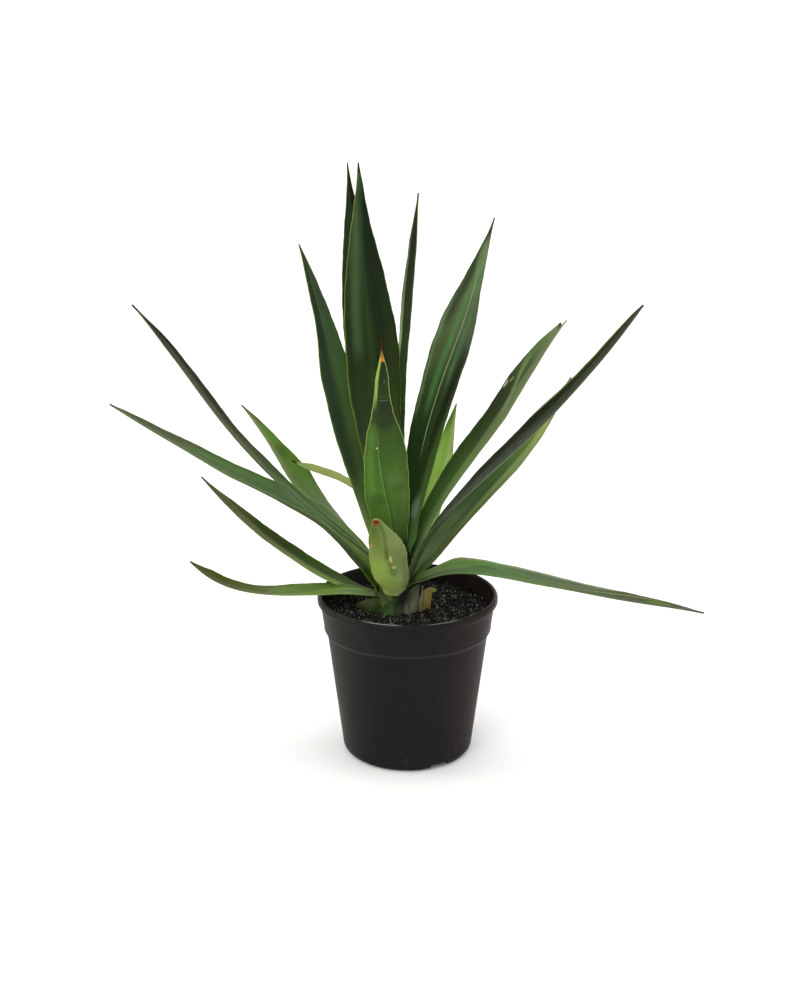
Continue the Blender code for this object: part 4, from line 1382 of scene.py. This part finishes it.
def bent_scale(name, points, widths, colours, replaced, thick, cup, face_turn):
    """A short scale on a bent line of points, cupped across, for the stub and the bract.
    points and widths are in millimetres, thick in metres and face_turn in degrees."""
    shaped, climbs = sheet("climb", 36, 18)
    marks = np.linspace(0.0, 1.0, len(points))
    wide_marks = np.linspace(0.0, 1.0, len(widths))
    outward = Vector((math.cos(math.radians(face_turn)), math.sin(math.radians(face_turn)), 0.0))

    def at(share):
        share = min(1.0, max(0.0, share))
        return Vector([float(np.interp(share, marks, line)) for line in zip(*points)])

    for corner in shaped.verts:
        share = 0.5 * (corner.co.x + 1.0)
        across = corner.co.y
        along = (at(share + 0.06) - at(share - 0.06)).normalized()
        side = along.cross(outward).normalized()
        face = side.cross(along)
        half = float(np.interp(share, wide_marks, widths)) / 2
        wave = 0.12 * math.sin(14.0 * share + 4.0 * across)
        sunk = cup * half * across * across + wave * abs(across)
        corner.co = MM * (at(share) + half * across * side - sunk * face)
        corner[climbs] = Vector((share, across, 0.0))
    skin = plant_skin(name.replace("_", " ") + " skin", colours, 1.2, 0.5)
    thicken(add_piece(name, shaped, skin, replaced), thick)


def build_scales():
    """The cut leaf base on the left, and the dry bract on the right with a paler sliver before it."""
    low, high = (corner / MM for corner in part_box("old_leaf_base"))
    stub = (
        (high.x, high.y - 5, low.z + 0.5), (high.x - 6, high.y - 8, low.z + 0.5),
        (high.x - 12, high.y - 9, low.z + 0.8), (low.x + 5, high.y - 9, low.z + 1.5),
        (low.x, high.y - 8, low.z + 2.0),
    )
    bent_scale(
        "cut_leaf_base", stub, (15, 14.5, 13, 9, 3), "3E4A20 3E4C22 3A4620 262E16",
        ("old_leaf_base",), 0.0016, 0.25, -104,
    )
    low, high = (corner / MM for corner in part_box("dry_bract"))
    x, y = (low.x + high.x) / 2, (low.y + high.y) / 2
    hook = (
        (x + 1.5, y, low.z - 5.5), (x + 2.0, y, low.z + 0.5), (x + 2.6, y - 0.3, low.z + 7.0),
        (x + 3.6, y - 1, low.z + 12.0), (x + 6.5, y - 1.6, low.z + 14.6),
        (x + 10.6, y - 2.0, low.z + 14.9),
    )
    bent_scale(
        "dry_hooked_bract", hook, (8.6, 8.6, 8.2, 7.0, 5.0, 1.6),
        "524C24 7E743A 8A8240 8C8440 8A8444", ("dry_bract",), 0.0007, 0.45, -84,
    )
    sliver = (
        (x - 2.2, y - 1.5, low.z - 5.5), (x - 1.9, y - 1.6, low.z + 4),
        (x - 1.0, y - 1.4, low.z + 12), (x - 0.4, y - 1.2, low.z + 18.5),
    )
    bent_scale(
        "dry_pale_sliver", sliver, (2.4, 2.2, 1.5, 0.6),
        "585430 7C7656 88826A 626248", (), 0.0006, 0.3, -80,
    )


# Stage ----------------------------------------------------------------------------------


SWEEP_FLAT_MM = 2000.0
SWEEP_CURVE_MM = 1300.0
FLOOR_DROP_MM = 0.4  # keeps the floor clear of the pot's foot
KEY_COLOUR = (1.0, 0.99, 0.97)
LEFT_COLOUR = (0.97, 1.0, 0.93)
RIGHT_COLOUR = (1.0, 0.96, 0.9)
WHITE = (1.0, 1.0, 1.0)
CAMERA_X_M = -0.0063
SENSOR_MM = 36.0


def floor_finish(colour):
    f = Finish("matte studio floor")
    soft = f.noise(f.place(), 1.7, 3.0)
    shade = f.mix(soft, (*[0.985 * c for c in colour], 1.0), (*colour, 1.0))
    return f.done(shade, f.step(soft, 0.3, 0.7, 0.85, 0.95), None, 1.3, 0.1)


def build_floor(colour):
    """A round sweep: flat floor that curves up to a wall all round, open above."""
    wall = SWEEP_FLAT_MM + SWEEP_CURVE_MM
    profile = [(1000.0 * r, -FLOOR_DROP_MM) for r in (0.0, 0.3, 0.8, 1.4, 2.0)]
    for number in range(1, 13):
        angle = math.radians(7.5 * number)
        out = SWEEP_FLAT_MM + SWEEP_CURVE_MM * math.sin(angle)
        profile.append((out, SWEEP_CURVE_MM - SWEEP_CURVE_MM * math.cos(angle)))
    profile.append((wall, 3400.0))
    shaped = spun(profile, 96)
    bmesh.ops.reverse_faces(shaped, faces=shaped.faces)
    sweep = new_object("studio_sweep", shaped)
    sweep.data.shade_smooth()
    sweep.data.materials.append(floor_finish(colour))


def add_lamp(name, place, target, size, power, colour):
    data = bpy.data.lights.new(name, "AREA")
    data.shape = "RECTANGLE"
    data.size, data.size_y = size
    data.energy = power
    data.color = colour
    lamp = bpy.data.objects.new(name, data)
    lamp.location = place
    lamp.rotation_euler = (Vector(target) - Vector(place)).to_track_quat("-Z", "Y").to_euler()
    bpy.context.scene.collection.objects.link(lamp)
    return lamp


def build_stage(settings):
    build_floor(settings.floor_colour)
    centre = (CAD_BOX[0] + CAD_BOX[1]) / 2
    key = settings.key_power
    add_lamp("front_softbox", (-0.55, -1.35, 1.35), centre, (1.0, 1.0), key, KEY_COLOUR)
    add_lamp("left_softbox", (-1.5, 0.1, 0.85), centre, (0.7, 1.3), 0.45 * key, LEFT_COLOUR)
    add_lamp("right_softbox", (1.5, 0.0, 0.8), centre, (0.7, 1.3), 0.4 * key, RIGHT_COLOUR)
    add_lamp("top_softbox", (0.0, 0.25, 1.9), centre, (1.5, 1.5), 0.9 * key, WHITE)
    wall_spot = (0.0, 3.2, 0.9)
    backdrop = add_lamp("backdrop_softbox", (0.0, 1.1, 1.9), wall_spot, (3.0, 1.0), 1.6 * key, WHITE)
    backdrop.visible_glossy = False  # it lights the wall only, with no glare on the leaves

    world = bpy.data.worlds.new("studio sky")
    world.use_nodes = True
    background = world.node_tree.nodes["Background"]
    background.inputs["Color"].default_value = (*WHITE, 1.0)
    background.inputs["Strength"].default_value = settings.sky

    data = bpy.data.cameras.new("camera")
    data.lens = settings.lens
    data.sensor_width = SENSOR_MM
    data.dof.use_dof = False
    camera = bpy.data.objects.new("camera", data)
    camera.location = (CAMERA_X_M, -settings.distance, settings.camera_height)
    camera.rotation_euler = (math.pi / 2 - settings.tilt, 0.0, 0.0)

    scene = bpy.context.scene
    scene.world = world
    scene.collection.objects.link(camera)
    scene.camera = camera
    scene.view_settings.view_transform = "Standard"
    scene.view_settings.look = "None"


# Operators and panel --------------------------------------------------------------------


class YUCCA_OT_pot(bpy.types.Operator):
    """Builds the nursery pot with its rolled lip, collar step and drain notches."""

    bl_idname = "yucca.pot"
    bl_label = "Build Pot"

    def execute(self, context):
        build_pot(context.scene.yucca_pot)
        return {"FINISHED"}


class YUCCA_OT_soil(bpy.types.Operator):
    """Builds the lumpy soil with its crumbs, perlite grains and peat fibres."""

    bl_idname = "yucca.soil"
    bl_label = "Build Soil"

    def execute(self, context):
        build_soil(context.scene.yucca_soil)
        return {"FINISHED"}


class YUCCA_OT_stem(bpy.types.Operator):
    """Builds the stem, its clasping sheaths, the cut leaf base and the dry bract."""

    bl_idname = "yucca.stem"
    bl_label = "Build Stem and Scales"

    def execute(self, context):
        build_stem()
        build_scales()
        return {"FINISHED"}


class YUCCA_OT_leaves(bpy.types.Operator):
    """Builds the eighteen leaf blades."""

    bl_idname = "yucca.leaves"
    bl_label = "Build Leaves"

    def execute(self, context):
        for leaf in LEAVES:
            make_blade(leaf, context.scene.yucca_leaf)
        return {"FINISHED"}


class YUCCA_OT_stage(bpy.types.Operator):
    """Builds the pale floor, the lamps and the camera."""

    bl_idname = "yucca.stage"
    bl_label = "Build Stage"

    def execute(self, context):
        build_stage(context.scene.yucca_stage)
        return {"FINISHED"}


class YUCCA_PT_panel(bpy.types.Panel):
    """Lists the builders and their settings."""

    bl_idname = "YUCCA_PT_panel"
    bl_label = "Potted Yucca"
    bl_space_type = "VIEW_3D"
    bl_region_type = "UI"
    bl_category = "Yucca"

    def draw(self, context):
        layout = self.layout
        rows = (
            ("yucca.pot", context.scene.yucca_pot),
            ("yucca.soil", context.scene.yucca_soil),
            ("yucca.stem", None),
            ("yucca.leaves", context.scene.yucca_leaf),
            ("yucca.stage", context.scene.yucca_stage),
        )
        for operator, settings in rows:
            box = layout.box()
            for name in settings.__annotations__ if settings else ():
                box.prop(settings, name)
            box.operator(operator)


SETTINGS = (
    ("yucca_pot", YuccaPotSettings),
    ("yucca_soil", YuccaSoilSettings),
    ("yucca_leaf", YuccaLeafSettings),
    ("yucca_stage", YuccaStageSettings),
)
OPERATORS = (YUCCA_OT_stage, YUCCA_OT_pot, YUCCA_OT_soil, YUCCA_OT_stem, YUCCA_OT_leaves)


def register():
    for name, group in SETTINGS:
        bpy.utils.register_class(group)
        setattr(bpy.types.Scene, name, bpy.props.PointerProperty(type=group))
    for made in (*OPERATORS, YUCCA_PT_panel):
        bpy.utils.register_class(made)


def unregister():
    for made in (YUCCA_PT_panel, *reversed(OPERATORS)):
        bpy.utils.unregister_class(made)
    for name, group in reversed(SETTINGS):
        delattr(bpy.types.Scene, name)
        bpy.utils.unregister_class(group)


def main():
    register()
    bpy.ops.yucca.stage()
    bpy.ops.yucca.pot()
    bpy.ops.yucca.soil()
    bpy.ops.yucca.stem()
    bpy.ops.yucca.leaves()


if __name__ == "__main__":
    main()
